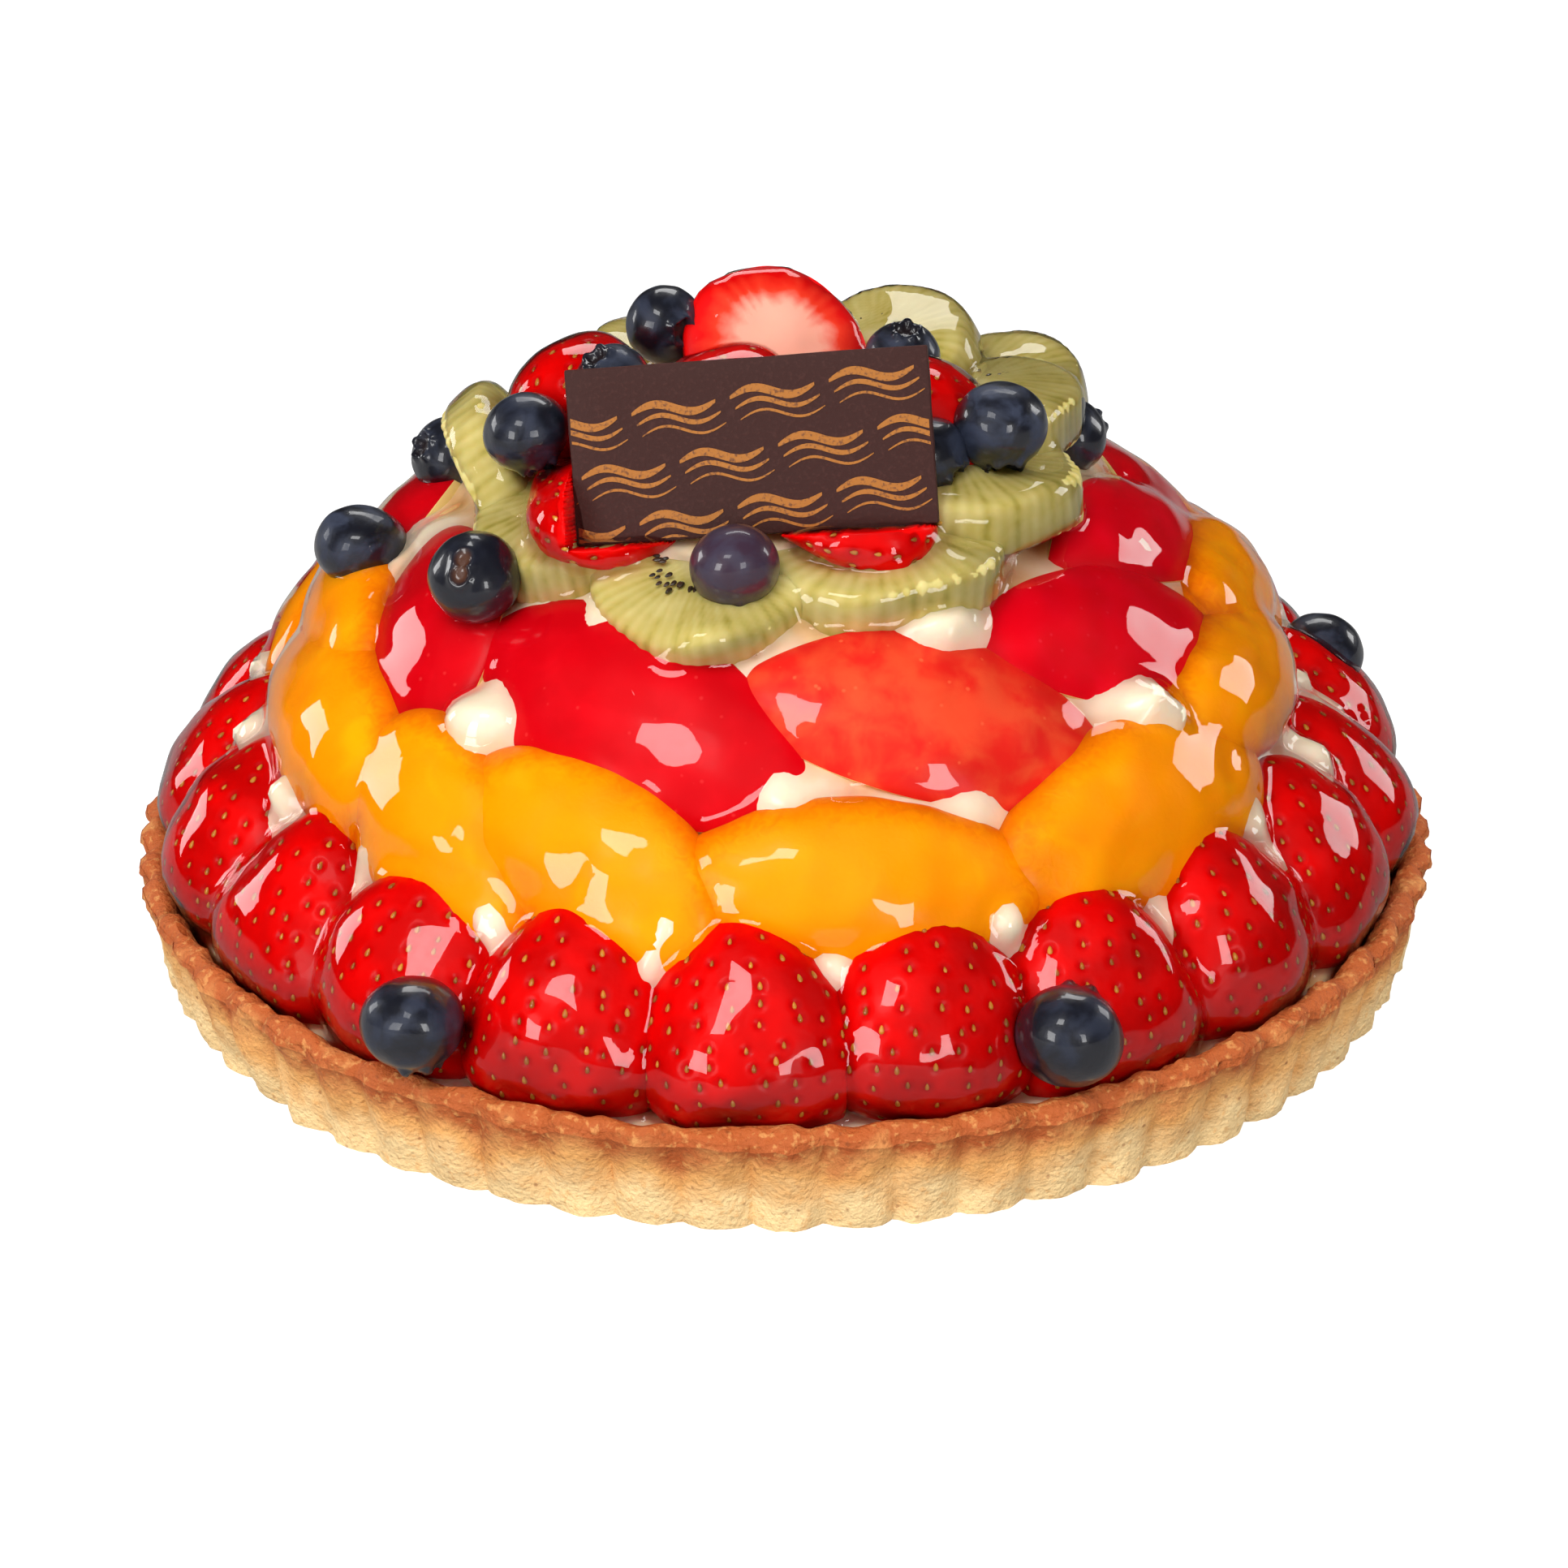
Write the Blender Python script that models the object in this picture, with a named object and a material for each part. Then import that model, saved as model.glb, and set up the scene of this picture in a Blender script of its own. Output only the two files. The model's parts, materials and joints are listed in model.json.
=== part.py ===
"""A domed fruit tart: a fluted pastry shell, a dome of cream, rings of fruit pressed on it, and a
chocolate plaque leaning on the fruit at the top.

Frame: +Z up, the tart stands on Z = 0 around the Z axis, and its front faces -Y. An azimuth is
measured from the front, growing towards +X. Lengths are metres, and the placement tables are in
millimetres and degrees.
"""

import math
from dataclasses import dataclass

import bmesh
import bpy
from mathutils import Matrix, Vector

MM = 0.001

# The pastry shell.
RIM_RADIUS = 120 * MM
RIM_HEIGHT = 20 * MM
BASE_RADIUS = 116 * MM
FLUTES = 62
FLUTE_DEPTH = 1.8 * MM
COLUMNS_PER_FLUTE = 4
WALL = 4.6 * MM
FLOOR = 5 * MM

# The cream: a bed inside the shell and a dome above it.
BED_HEIGHT = 13 * MM
DOME_RADIUS = 102 * MM
DOME_HEIGHT = 108 * MM
DOME_FULLNESS = 0.62
DOME_SIDES = 32
DOME_RINGS = 7

# Fruit sizes and the gap that is left wherever two pieces meet.
GAP = 0.4 * MM
MERGE = 0.08 * MM
BERRY_WIDTH = 34 * MM
BERRY_LENGTH = 38 * MM
BERRY_THICKNESS = 15 * MM
BERRY_TAPER = 0.35
BERRY_FLARE = 1.06
BERRY_SIDES = 8
BERRY_STATIONS = (-0.82, -0.5, -0.05, 0.4, 0.75)
BERRY_SEAT = 29 * MM
RING_COUNT = 21
FRONT_COUNT = 11
RING_START = -89.5
PEACH_WIDTH = 27 * MM
PEACH_PROUD = 9 * MM
APPLE_WIDTH = 27 * MM
APPLE_PROUD = 5 * MM
KIWI_THICKNESS = 10 * MM
KIWI_SIDES = 14
KIWI_NOTCH = 0.035
PLAQUE_DEPTH = 30 * MM
PLAQUE_THICKNESS = 2.5 * MM


@dataclass(frozen=True)
class Slice:
    """A slice laid on the cream between two ends, each an azimuth and a height."""

    name: str
    start: tuple[float, float]
    end: tuple[float, float]
    width: float = 1.0


@dataclass(frozen=True)
class Loose:
    """A piece placed by azimuth, radius and height, with its size across and how far it leans."""

    name: str
    azimuth: float
    radius: float
    height: float
    size: float
    lean: float = 0.0
    turn: float = 0.0


PEACHES = [
    Slice("peach_1", (-97, 68), (-66, 61), 0.8),
    Slice("peach_2", (-88, 56), (-46, 46)),
    Slice("peach_3", (-55, 57), (-27, 39), 1.1),
    Slice("peach_4", (-39, 58), (-6, 40), 1.1),
    Slice("peach_5", (-14, 49), (27, 45)),
    Slice("peach_6", (20, 47), (63, 47), 1.1),
    Slice("peach_7", (50, 57), (90, 54), 0.9),
    Slice("peach_8", (74, 66), (112, 56), 0.9),
]
BACK_PEACHES = [
    Slice("peach_9", (97, 56), (138, 45)),
    Slice("peach_10", (128, 56), (168, 45)),
    Slice("peach_11", (158, 56), (200, 45)),
    Slice("peach_12", (190, 56), (232, 45)),
    Slice("peach_13", (222, 57), (262, 46)),
]
APPLES = [
    Slice("apple_1", (-116, 80), (-82, 68), 0.9),
    Slice("apple_2", (-76, 82), (-46, 61)),
    Slice("apple_3", (-50, 76), (3, 60), 1.15),
    Slice("apple_4", (-10, 75), (43, 57)),
    Slice("apple_5", (28, 78), (76, 61), 0.9),
    Slice("apple_6", (54, 84), (102, 66), 0.8),
]
BACK_APPLES = [
    Slice("apple_7", (92, 82), (136, 60)),
    Slice("apple_8", (124, 80), (172, 60)),
    Slice("apple_9", (160, 80), (208, 60)),
    Slice("apple_10", (196, 80), (243, 62)),
]
KIWIS = [
    Loose("kiwi_4", 22, 43, 85, 44, lean=15),
    Loose("kiwi_5", 50, 40, 94, 42, lean=12),
    Loose("kiwi_3", -13, 43, 82.5, 44, lean=-3),
    Loose("kiwi_2", -48, 43, 82.5, 41, lean=28),
    Loose("kiwi_1", -79, 47, 89, 38, lean=60),
    Loose("kiwi_6", 84, 34, 100, 38, lean=8),
    Loose("kiwi_7", 136, 28, 100, 34, lean=45),
    Loose("kiwi_8", -136, 28, 95, 34, lean=45),
]
BACK_KIWIS = [
    Loose("kiwi_9", 116, 38, 90, 40, lean=22),
    Loose("kiwi_10", 150, 39, 86, 42, lean=12),
    Loose("kiwi_11", 187, 38, 88.5, 41, lean=20),
    Loose("kiwi_12", 225, 39, 86.5, 42, lean=14),
]
TOP_BERRIES = [
    Loose("top_strawberry_1", 10, 5, 115, 33, lean=35, turn=90),
    Loose("top_strawberry_2", -66, 38, 108, 24, lean=60, turn=40),
    Loose("top_strawberry_3", -30, 22, 106, 25, lean=60),
    Loose("top_strawberry_4", -41, 47, 94, 30, lean=35, turn=60),
    Loose("top_strawberry_5", 15, 45, 93.5, 32, lean=50, turn=-80),
    Loose("top_strawberry_6", 55, 31, 106, 25, lean=60, turn=-30),
]
BLUEBERRIES = [
    Loose("blueberry_1", -95, 21, 115.5, 14, lean=20, turn=-40),
    Loose("blueberry_2", -50, 38, 115, 13.5, lean=70),
    Loose("blueberry_3", -56, 53, 108, 15, lean=80),
    Loose("blueberry_4", -98, 61, 88, 15, lean=50),
    Loose("blueberry_5", -84, 76, 76.5, 16.5, lean=-40),
    Loose("blueberry_6", -50, 69, 87, 16.5, lean=45),
    Loose("blueberry_7", -8, 57, 94, 15.5, lean=60),
    Loose("blueberry_8", 70, 23, 113, 14, lean=85),
    Loose("blueberry_9", 52, 48, 107.5, 17.5, lean=-50),
    Loose("blueberry_10", 37, 42, 104, 14, lean=60),
    Loose("blueberry_11", 94, 51.5, 91.5, 14, lean=30),
    Loose("blueberry_12", 105, 106, 38.5, 16, lean=20),
    Loose("blueberry_13", -32, 117, 30, 17.5, lean=-20),
    Loose("blueberry_14", 24, 114.5, 29.5, 18, lean=-30),
]
PLAQUE = Loose("plaque", -7, 41, 109, 62, lean=70, turn=-6)

COLOURS = {
    "pastry": (0.72, 0.46, 0.22, 0.8),
    "cream": (0.95, 0.86, 0.66, 0.5),
    "strawberry": (0.70, 0.01, 0.01, 0.2),
    "peach": (0.95, 0.38, 0.01, 0.2),
    "apple": (0.62, 0.01, 0.03, 0.2),
    "kiwi": (0.56, 0.54, 0.18, 0.2),
    "blueberry": (0.02, 0.03, 0.06, 0.3),
    "chocolate": (0.07, 0.02, 0.015, 0.45),
}


def clear_scene():
    for obj in list(bpy.data.objects):
        bpy.data.objects.remove(obj, do_unlink=True)


def finish_material(kind):
    """One plain material for each kind of food."""
    if kind in bpy.data.materials:
        return bpy.data.materials[kind]
    material = bpy.data.materials.new(kind)
    material.use_nodes = True
    red, green, blue, roughness = COLOURS[kind]
    shader = material.node_tree.nodes["Principled BSDF"]
    shader.inputs["Base Color"].default_value = (red, green, blue, 1)
    shader.inputs["Roughness"].default_value = roughness
    shader.inputs["Metallic"].default_value = 0
    material.diffuse_color = (red, green, blue, 1)
    return material


def add_object(name, bm, kind):
    """Makes the mesh an object with outward normals and its kind's material."""
    bmesh.ops.recalc_face_normals(bm, faces=bm.faces)
    mesh = bpy.data.meshes.new(name)
    bm.to_mesh(mesh)
    bm.free()
    mesh.materials.append(finish_material(kind))
    mesh.shade_smooth()
    mesh.set_sharp_from_angle(angle=math.radians(40))
    obj = bpy.data.objects.new(name, mesh)
    bpy.context.scene.collection.objects.link(obj)
    return obj


def loft(rings):
    """A closed skin over rings of equal size. A ring of one point closes an end to that point."""
    bm = bmesh.new()
    rows = [[bm.verts.new(point) for point in ring] for ring in rings]
    for low, high in zip(rows, rows[1:]):
        count = max(len(low), len(high))
        for i in range(count):
            j = (i + 1) % count
            face = [low[i % len(low)], low[j % len(low)], high[j % len(high)], high[i % len(high)]]
            bm.faces.new(list(dict.fromkeys(face)))
    for end in (rows[0], rows[-1]):
        if len(end) > 2:
            bm.faces.new(end)
    return bm


def placed(bm, frame):
    bmesh.ops.transform(bm, matrix=frame, verts=bm.verts)
    return bm


def outward(azimuth):
    """The level direction away from the axis at an azimuth in degrees."""
    angle = math.radians(azimuth)
    return Vector((math.sin(angle), -math.cos(angle), 0))


def dome_radius(height):
    """The cream's radius at a height: a dome that is full at its foot and round at its top."""
    share = min(height / DOME_HEIGHT, 1)
    return DOME_RADIUS * (1 - share * share) ** DOME_FULLNESS


def on_cream(azimuth, height):
    """The point on the cream and the outward normal there."""
    step = 0.5 * MM
    drop = (dome_radius(height - step) - dome_radius(height + step)) / (2 * step)
    away = outward(azimuth)
    normal = (away + Vector((0, 0, drop))).normalized()
    return away * dome_radius(height) + Vector((0, 0, height)), normal


def axes_frame(origin, along, up):
    """A frame at the origin: local X along, local Z as near to up as it can be."""
    x_axis = along.normalized()
    y_axis = up.cross(x_axis).normalized()
    z_axis = x_axis.cross(y_axis)
    turn = Matrix((x_axis, y_axis, z_axis)).transposed().to_4x4()
    return Matrix.Translation(origin) @ turn


def loose_frame(piece):
    """Local Z leans from level outwards (0) to straight up (90), and local X runs across."""
    away = outward(piece.azimuth)
    lean = math.radians(piece.lean)
    facing = away * math.cos(lean) + Vector((0, 0, math.sin(lean)))
    across = Vector((0, 0, 1)).cross(away)
    origin = (away * piece.radius + Vector((0, 0, piece.height))) * MM
    return axes_frame(origin, across, facing) @ Matrix.Rotation(math.radians(piece.turn), 4, "Z")


def ring_of(radius, height):
    """A level ring of points, from a radius that may change with the angle."""
    sides = radius if isinstance(radius, list) else [radius] * DOME_SIDES
    step = 2 * math.pi / len(sides)
    return [Vector((r * math.cos(i * step), r * math.sin(i * step), height)) for i, r in enumerate(sides)]


def shell_inside(height):
    """The inner radius of the pastry wall, which slopes out towards the rim."""
    return BASE_RADIUS - WALL + (RIM_RADIUS - BASE_RADIUS) * height / RIM_HEIGHT - FLUTE_DEPTH / 2


def fluted(radius):
    """Scallops around a circle: round ribs that meet in creases."""
    columns = FLUTES * COLUMNS_PER_FLUTE
    ribs = [abs(math.sin(math.pi * (i / COLUMNS_PER_FLUTE + 0.5))) for i in range(columns)]
    return [radius - FLUTE_DEPTH * (1 - rib) for rib in ribs]


def make_shell():
    """The fluted pastry shell: an open dish with a plain inner wall."""
    bm = bmesh.new()
    rows = []
    outline = [
        ring_of(fluted(BASE_RADIUS), 0),
        ring_of(fluted(RIM_RADIUS), RIM_HEIGHT - 1 * MM),
        ring_of([shell_inside(RIM_HEIGHT) + 1 * MM] * FLUTES, RIM_HEIGHT),
        ring_of([shell_inside(FLOOR)] * FLUTES, FLOOR),
    ]
    for ring in outline:
        points = [bm.verts.new(point) for point in ring]
        rows.append([bm.edges.new((a, b)) for a, b in zip(points, points[1:] + points[:1])])
    for low, high in zip(rows, rows[1:]):
        bmesh.ops.bridge_loops(bm, edges=low + high)
    bmesh.ops.holes_fill(bm, edges=rows[0] + rows[-1], sides=0)
    return add_object("crust", bm, "pastry")


def make_cream():
    """The cream: a bed that fills the shell, and the dome on it."""
    foot = BED_HEIGHT + 1.5 * MM
    rings = [
        ring_of(shell_inside(FLOOR) - 2 * GAP, FLOOR + GAP),
        ring_of(shell_inside(BED_HEIGHT) - 2 * GAP, BED_HEIGHT),
        ring_of(dome_radius(foot), foot),
    ]
    start = math.asin(foot / DOME_HEIGHT)
    for i in range(1, DOME_RINGS):
        height = DOME_HEIGHT * math.sin(start + (math.pi / 2 - start) * i / DOME_RINGS)
        rings.append(ring_of(dome_radius(height), height))
    rings.append([Vector((0, 0, DOME_HEIGHT))])
    return add_object("cream", loft(rings), "cream")


def berry_rings(width, length, thickness, back):
    """Sections of a strawberry along local Y, its tip at +Y and its front at +Z. The back is how
    far it swells behind, next to nothing where it is cut flat."""
    rings = []
    for station in BERRY_STATIONS:
        share = math.sqrt(1 - station**2) * (1 - BERRY_TAPER * station)
        ring = []
        for i in range(BERRY_SIDES):
            angle = 2 * math.pi * (i + 0.5) / BERRY_SIDES
            side = share * math.cos(angle) * BERRY_FLARE
            depth = math.sin(angle) * share
            depth = depth * thickness if depth > 0 else depth * back
            ring.append(Vector((side * width / 2, station * length / 2, depth)))
        rings.append(ring)
    return rings + [[Vector((0, length / 2, (thickness - back) * 0.15))]]


def rim_berry(index, pressed=True):
    """A halved strawberry on the rim, its cut face on the cream and its tip up. A pressed one
    stays inside its share of the rim."""
    azimuth = RING_START + index * 360 / RING_COUNT
    sway = math.sin(index * 2.4)
    height = BERRY_SEAT + 0.7 * MM * sway
    point, normal = on_cream(azimuth, height)
    across = Vector((0, 0, 1)).cross(outward(azimuth))
    frame = axes_frame(point + normal * (GAP + 0.5 * MM), across, normal)
    frame = frame @ Matrix.Rotation(math.radians(5 * math.sin(index * 1.7)), 4, "Z")
    size = 1 + 0.04 * math.sin(index * 3.1)
    rings = berry_rings(BERRY_WIDTH * size, BERRY_LENGTH, BERRY_THICKNESS, 0.2 * MM)
    bm = placed(loft(rings), frame)
    for vertex in bm.verts:
        hug_shell(vertex)
        if pressed:
            hug_neighbours(vertex, azimuth)
    return add_object(f"strawberry_{index + 1}", bm, "strawberry")


def hug_shell(vertex):
    """Keeps a point above the cream's bed and, below the rim, inside the pastry wall."""
    vertex.co.z = max(vertex.co.z, BED_HEIGHT + 2 * MM)
    reach = math.hypot(vertex.co.x, vertex.co.y)
    room = shell_inside(vertex.co.z) - 2 * GAP
    if vertex.co.z < RIM_HEIGHT + 2 * MM and reach > room:
        vertex.co.x *= room / reach
        vertex.co.y *= room / reach


def hug_neighbours(vertex, azimuth):
    """Keeps a point inside its berry's share of the rim, where the next berries press it flat."""
    away = outward(azimuth)
    side = Vector((0, 0, 1)).cross(away)
    depth = vertex.co.dot(away)
    reach = depth * math.tan(math.pi / RING_COUNT) - GAP / 2
    across = vertex.co.dot(side)
    vertex.co += side * (max(-reach, min(reach, across)) - across)


def laid_slice(piece, width, proud, roundness, kind):
    """A slice that arches over the cream from its start to its end, pointed at both. Its section
    is a wedge whose outer side is as round as roundness says."""
    ends = [on_cream(azimuth, height * MM)[0] for azimuth, height in (piece.start, piece.end)]
    middle = (piece.start[0] + piece.end[0]) / 2, (piece.start[1] + piece.end[1]) / 2 * MM
    crest, normal = on_cream(*middle)
    centre = (ends[0] + ends[1]) / 2
    chord = ends[1] - ends[0]
    rise = (crest - centre).dot(normal) + proud
    half = width * piece.width / 2
    stations = 6
    rings = [[Vector((-chord.length / 2, 0, 0))]]
    for i in range(1, stations):
        along = -math.cos(math.pi * i / stations)
        lens = (1 - along**2) ** 0.6
        arch = rise * (1 - along**2) ** 0.55
        ring = [Vector((along * chord.length / 2, 0, arch - 2.2 * half * lens))]
        for side in (-1, -0.7, 0, 0.7, 1):
            drop = roundness * half * lens * (1 - math.sqrt(1 - 0.96 * side**2))
            ring.append(Vector((along * chord.length / 2, side * half * lens, arch - drop)))
        rings.append(ring)
    rings.append([Vector((chord.length / 2, 0, 0))])
    return add_object(piece.name, placed(loft(rings), axes_frame(centre, chord, normal)), kind)


def kiwi_slice(piece):
    """A half-round slice with a fluted edge. It lies level where its lean is 0, its straight
    side towards the axis, and a positive lean raises its outer edge."""
    radius = piece.size * MM / 2
    outline = []
    for i in range(KIWI_SIDES + 1):
        angle = math.pi * i / KIWI_SIDES
        reach = radius * (1 - KIWI_NOTCH * (i % 2))
        outline.append((reach * math.cos(angle), -reach * math.sin(angle)))
    half = KIWI_THICKNESS / 2
    rings = [[Vector((x, y, z)) for x, y in outline] for z in (-half, half)]
    away = outward(piece.azimuth)
    lean = math.radians(piece.lean)
    facing = Vector((0, 0, math.cos(lean))) - away * math.sin(lean)
    across = Vector((0, 0, 1)).cross(away)
    origin = (away * piece.radius + Vector((0, 0, piece.height))) * MM
    return add_object(piece.name, placed(loft(rings), axes_frame(origin, across, facing)), "kiwi")


def top_berry(piece):
    """A halved strawberry of the top pile. The first shows its cut face to the front."""
    size = piece.size * MM
    rings = berry_rings(size * 0.85, size, size * 0.38, size * 0.38)
    return add_object(piece.name, placed(loft(rings), loose_frame(piece)), "strawberry")


def cut_berry(piece):
    """A strawberry cut lengthwise, its flat face turned outwards."""
    size = piece.size * MM
    rings = berry_rings(size * 0.85, size, 0.8 * MM, size * 0.4)
    return add_object(piece.name, placed(loft(rings), loose_frame(piece)), "strawberry")


def blueberry(piece):
    """A slightly flat berry with its crown sunk in at local +Z."""
    radius = piece.size * MM / 2
    bm = bmesh.new()
    bmesh.ops.create_uvsphere(bm, u_segments=8, v_segments=6, radius=radius)
    bmesh.ops.scale(bm, vec=(1, 1, 0.92), verts=bm.verts)
    for vertex in bm.verts:
        if vertex.co.z > 0.85 * radius:
            vertex.co.z -= 0.28 * radius
    return add_object(piece.name, placed(bm, loose_frame(piece)), "blueberry")


def make_plaque():
    """The chocolate plaque: a thin bevelled slab that leans back on the fruit."""
    bm = bmesh.new()
    bmesh.ops.create_cube(bm, size=1)
    size = Vector((PLAQUE.size * MM, PLAQUE_DEPTH, PLAQUE_THICKNESS))
    bmesh.ops.scale(bm, vec=size, verts=bm.verts)
    bmesh.ops.bevel(bm, geom=bm.edges, offset=0.4 * MM, segments=1, affect="EDGES")
    away = outward(PLAQUE.azimuth)
    lean = math.radians(PLAQUE.lean)
    facing = away * math.sin(lean) + Vector((0, 0, math.cos(lean)))
    across = Vector((0, 0, 1)).cross(away)
    origin = (away * PLAQUE.radius + Vector((0, 0, PLAQUE.height))) * MM
    frame = axes_frame(origin, across, facing)
    frame = frame @ Matrix.Rotation(math.radians(-PLAQUE.turn), 4, "Z")
    return add_object(PLAQUE.name, placed(bm, frame), "chocolate")


def evaluated_mesh(obj):
    graph = bpy.context.evaluated_depsgraph_get()
    return bpy.data.meshes.new_from_object(obj.evaluated_get(graph))


def cutter_of(obj):
    """A hidden copy of a whole piece with every face moved out by the gap."""
    bm = bmesh.new()
    bm.from_mesh(obj.data)
    bm.normal_update()
    moves = [vertex.normal * GAP * min(vertex.calc_shell_factor(), 2) for vertex in bm.verts]
    for vertex, move in zip(bm.verts, moves):
        vertex.co += move
    mesh = bpy.data.meshes.new(obj.name + "_cutter")
    bm.to_mesh(mesh)
    bm.free()
    cutter = bpy.data.objects.new(mesh.name, mesh)
    cutter.hide_render = True
    cutter.display_type = "WIRE"
    bpy.context.scene.collection.objects.link(cutter)
    return cutter


def apply_booleans(obj, others, operation):
    """Applies one Boolean for each of the other objects."""
    for other in others:
        modifier = obj.modifiers.new(operation.lower(), "BOOLEAN")
        modifier.operation = operation
        modifier.object = other
    mesh = evaluated_mesh(obj)
    obj.modifiers.clear()
    obj.data = mesh


def face_islands(bm):
    """The mesh's faces in groups that hang together across their edges."""
    left = set(bm.faces)
    islands = []
    while left:
        island = {left.pop()}
        front = island
        while front:
            edges = {edge for face in front for edge in face.edges if len(edge.link_faces) == 2}
            front = {face for edge in edges for face in edge.link_faces} - island
            island = island | front
        left -= island
        islands.append(island)
    return islands


def keep_largest(obj):
    """Deletes the crumbs that a cut can leave, and keeps the piece itself."""
    bm = bmesh.new()
    bm.from_mesh(obj.data)
    bmesh.ops.remove_doubles(bm, verts=bm.verts, dist=MERGE)
    bmesh.ops.dissolve_degenerate(bm, edges=bm.edges, dist=MERGE / 2)
    keep = max(face_islands(bm), key=lambda island: sum(face.calc_area() for face in island))
    crumbs = [face for face in bm.faces if face not in keep]
    bmesh.ops.delete(bm, geom=crumbs, context="FACES")
    bmesh.ops.triangulate(bm, faces=bm.faces)
    bm.to_mesh(obj.data)
    bm.free()


def corners(obj):
    """The lowest and highest corner of a piece's box."""
    points = [vertex.co for vertex in obj.data.vertices]
    return [Vector(pick(p[i] for p in points) for i in range(3)) for pick in (min, max)]


def boxes_meet(first, second):
    low, high = corners(first)
    other_low, other_high = corners(second)
    return all(low[i] < other_high[i] and other_low[i] < high[i] for i in range(3))


def carve(obj, cutters):
    """Cuts from a piece the room that the pieces it presses against take up."""
    near = [cutter for cutter in cutters if boxes_meet(obj, cutter)]
    if near:
        apply_booleans(obj, near, "DIFFERENCE")
        keep_largest(obj)


def joined(name, pieces):
    """Pieces that overlap each other all along, made one solid."""
    first = pieces[0]
    apply_booleans(first, pieces[1:], "UNION")
    for piece in pieces[1:]:
        bpy.data.objects.remove(piece, do_unlink=True)
    first.name = name
    keep_largest(first)
    return first


def build_tart():
    """Places the firm pieces first. Each later piece gives way to those before it."""
    cutters = [cutter_of(make_shell()), cutter_of(make_cream())]

    def settle(obj):
        cutter = cutter_of(obj)
        carve(obj, cutters)
        cutters.append(cutter)

    def settle_together(name, pieces):
        whole = [cutter_of(piece) for piece in pieces]
        carve(joined(name, pieces), cutters)
        cutters.extend(whole)

    def apple(piece):
        return laid_slice(piece, APPLE_WIDTH, APPLE_PROUD, 0.3, "apple")

    def peach(piece):
        return laid_slice(piece, PEACH_WIDTH, PEACH_PROUD, 0.8, "peach")

    settle(make_plaque())
    for piece in BLUEBERRIES:
        settle(blueberry(piece))
    settle(cut_berry(TOP_BERRIES[0]))
    for piece in KIWIS:
        settle(kiwi_slice(piece))
    for piece in TOP_BERRIES[1:]:
        settle(top_berry(piece))
    settle_together("kiwis_back", [kiwi_slice(piece) for piece in BACK_KIWIS])
    for piece in APPLES:
        settle(apple(piece))
    settle_together("apples_back", [apple(piece) for piece in BACK_APPLES])
    for piece in PEACHES:
        settle(peach(piece))
    settle_together("peaches_back", [peach(piece) for piece in BACK_PEACHES])
    for index in range(FRONT_COUNT):
        settle(rim_berry(index))
    hidden = range(FRONT_COUNT, RING_COUNT)
    settle_together("strawberries_back", [rim_berry(index, pressed=False) for index in hidden])
    for cutter in cutters:
        bpy.data.objects.remove(cutter, do_unlink=True)


if __name__ == "__main__":
    clear_scene()
    build_tart()
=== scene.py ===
"""The looks of a domed fruit tart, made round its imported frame.

The frame gives every place: a piece reads the node that it stands for and is shaped to fit it.
Lengths are metres, +Z is up, and the tart's front faces -Y. An azimuth is in degrees from the
front, growing towards +X.
"""

from __future__ import annotations

import json
import logging
import math
from collections.abc import Iterator, Mapping, Sequence
from contextlib import contextmanager
from dataclasses import dataclass, field
from enum import Enum

import bmesh
import bpy
import numpy as np
from mathutils import Matrix, Vector

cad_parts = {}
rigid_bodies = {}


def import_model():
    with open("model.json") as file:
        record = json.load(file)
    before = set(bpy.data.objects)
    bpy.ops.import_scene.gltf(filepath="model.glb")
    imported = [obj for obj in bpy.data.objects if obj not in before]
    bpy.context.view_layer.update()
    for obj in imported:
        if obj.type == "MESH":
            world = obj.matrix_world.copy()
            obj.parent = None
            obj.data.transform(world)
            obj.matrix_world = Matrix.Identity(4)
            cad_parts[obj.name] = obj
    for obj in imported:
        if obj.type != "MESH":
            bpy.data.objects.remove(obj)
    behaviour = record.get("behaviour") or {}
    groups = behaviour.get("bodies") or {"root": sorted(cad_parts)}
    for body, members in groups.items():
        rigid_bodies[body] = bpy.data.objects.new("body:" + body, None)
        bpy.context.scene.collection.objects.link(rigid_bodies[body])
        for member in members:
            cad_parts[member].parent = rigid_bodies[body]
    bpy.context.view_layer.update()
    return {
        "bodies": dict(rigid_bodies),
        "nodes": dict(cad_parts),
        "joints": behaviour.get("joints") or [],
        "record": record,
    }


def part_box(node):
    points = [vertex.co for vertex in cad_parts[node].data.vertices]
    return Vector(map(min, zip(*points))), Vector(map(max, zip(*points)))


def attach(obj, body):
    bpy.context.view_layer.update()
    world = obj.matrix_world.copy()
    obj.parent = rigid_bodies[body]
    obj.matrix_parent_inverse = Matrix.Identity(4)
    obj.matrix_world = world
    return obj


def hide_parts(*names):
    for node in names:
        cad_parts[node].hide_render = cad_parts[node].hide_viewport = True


LOG = logging.getLogger("tart")
MM = 0.001
DOME_RADIUS = 102 * MM
BODY = "root"

Array = np.ndarray
Colour = tuple[float, float, float]
Piece = bpy.types.Object


def srgb(red: int, green: int, blue: int) -> Colour:
    """A screen colour as linear light.

    Args:
        red: Red, 0 to 255.
        green: Green, 0 to 255.
        blue: Blue, 0 to 255.

    Returns:
        The three linear values.
    """

    def linear(level: int) -> float:
        share = level / 255
        return share / 12.92 if share <= 0.04045 else ((share + 0.055) / 1.055) ** 2.4

    return linear(red), linear(green), linear(blue)


# ---------------------------------------------------------------- modelling


def rest() -> None:
    """Leaves edit mode and deselects everything."""
    if bpy.context.object and bpy.context.object.mode != "OBJECT":
        bpy.ops.object.mode_set(mode="OBJECT")
    bpy.ops.object.select_all(action="DESELECT")


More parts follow.
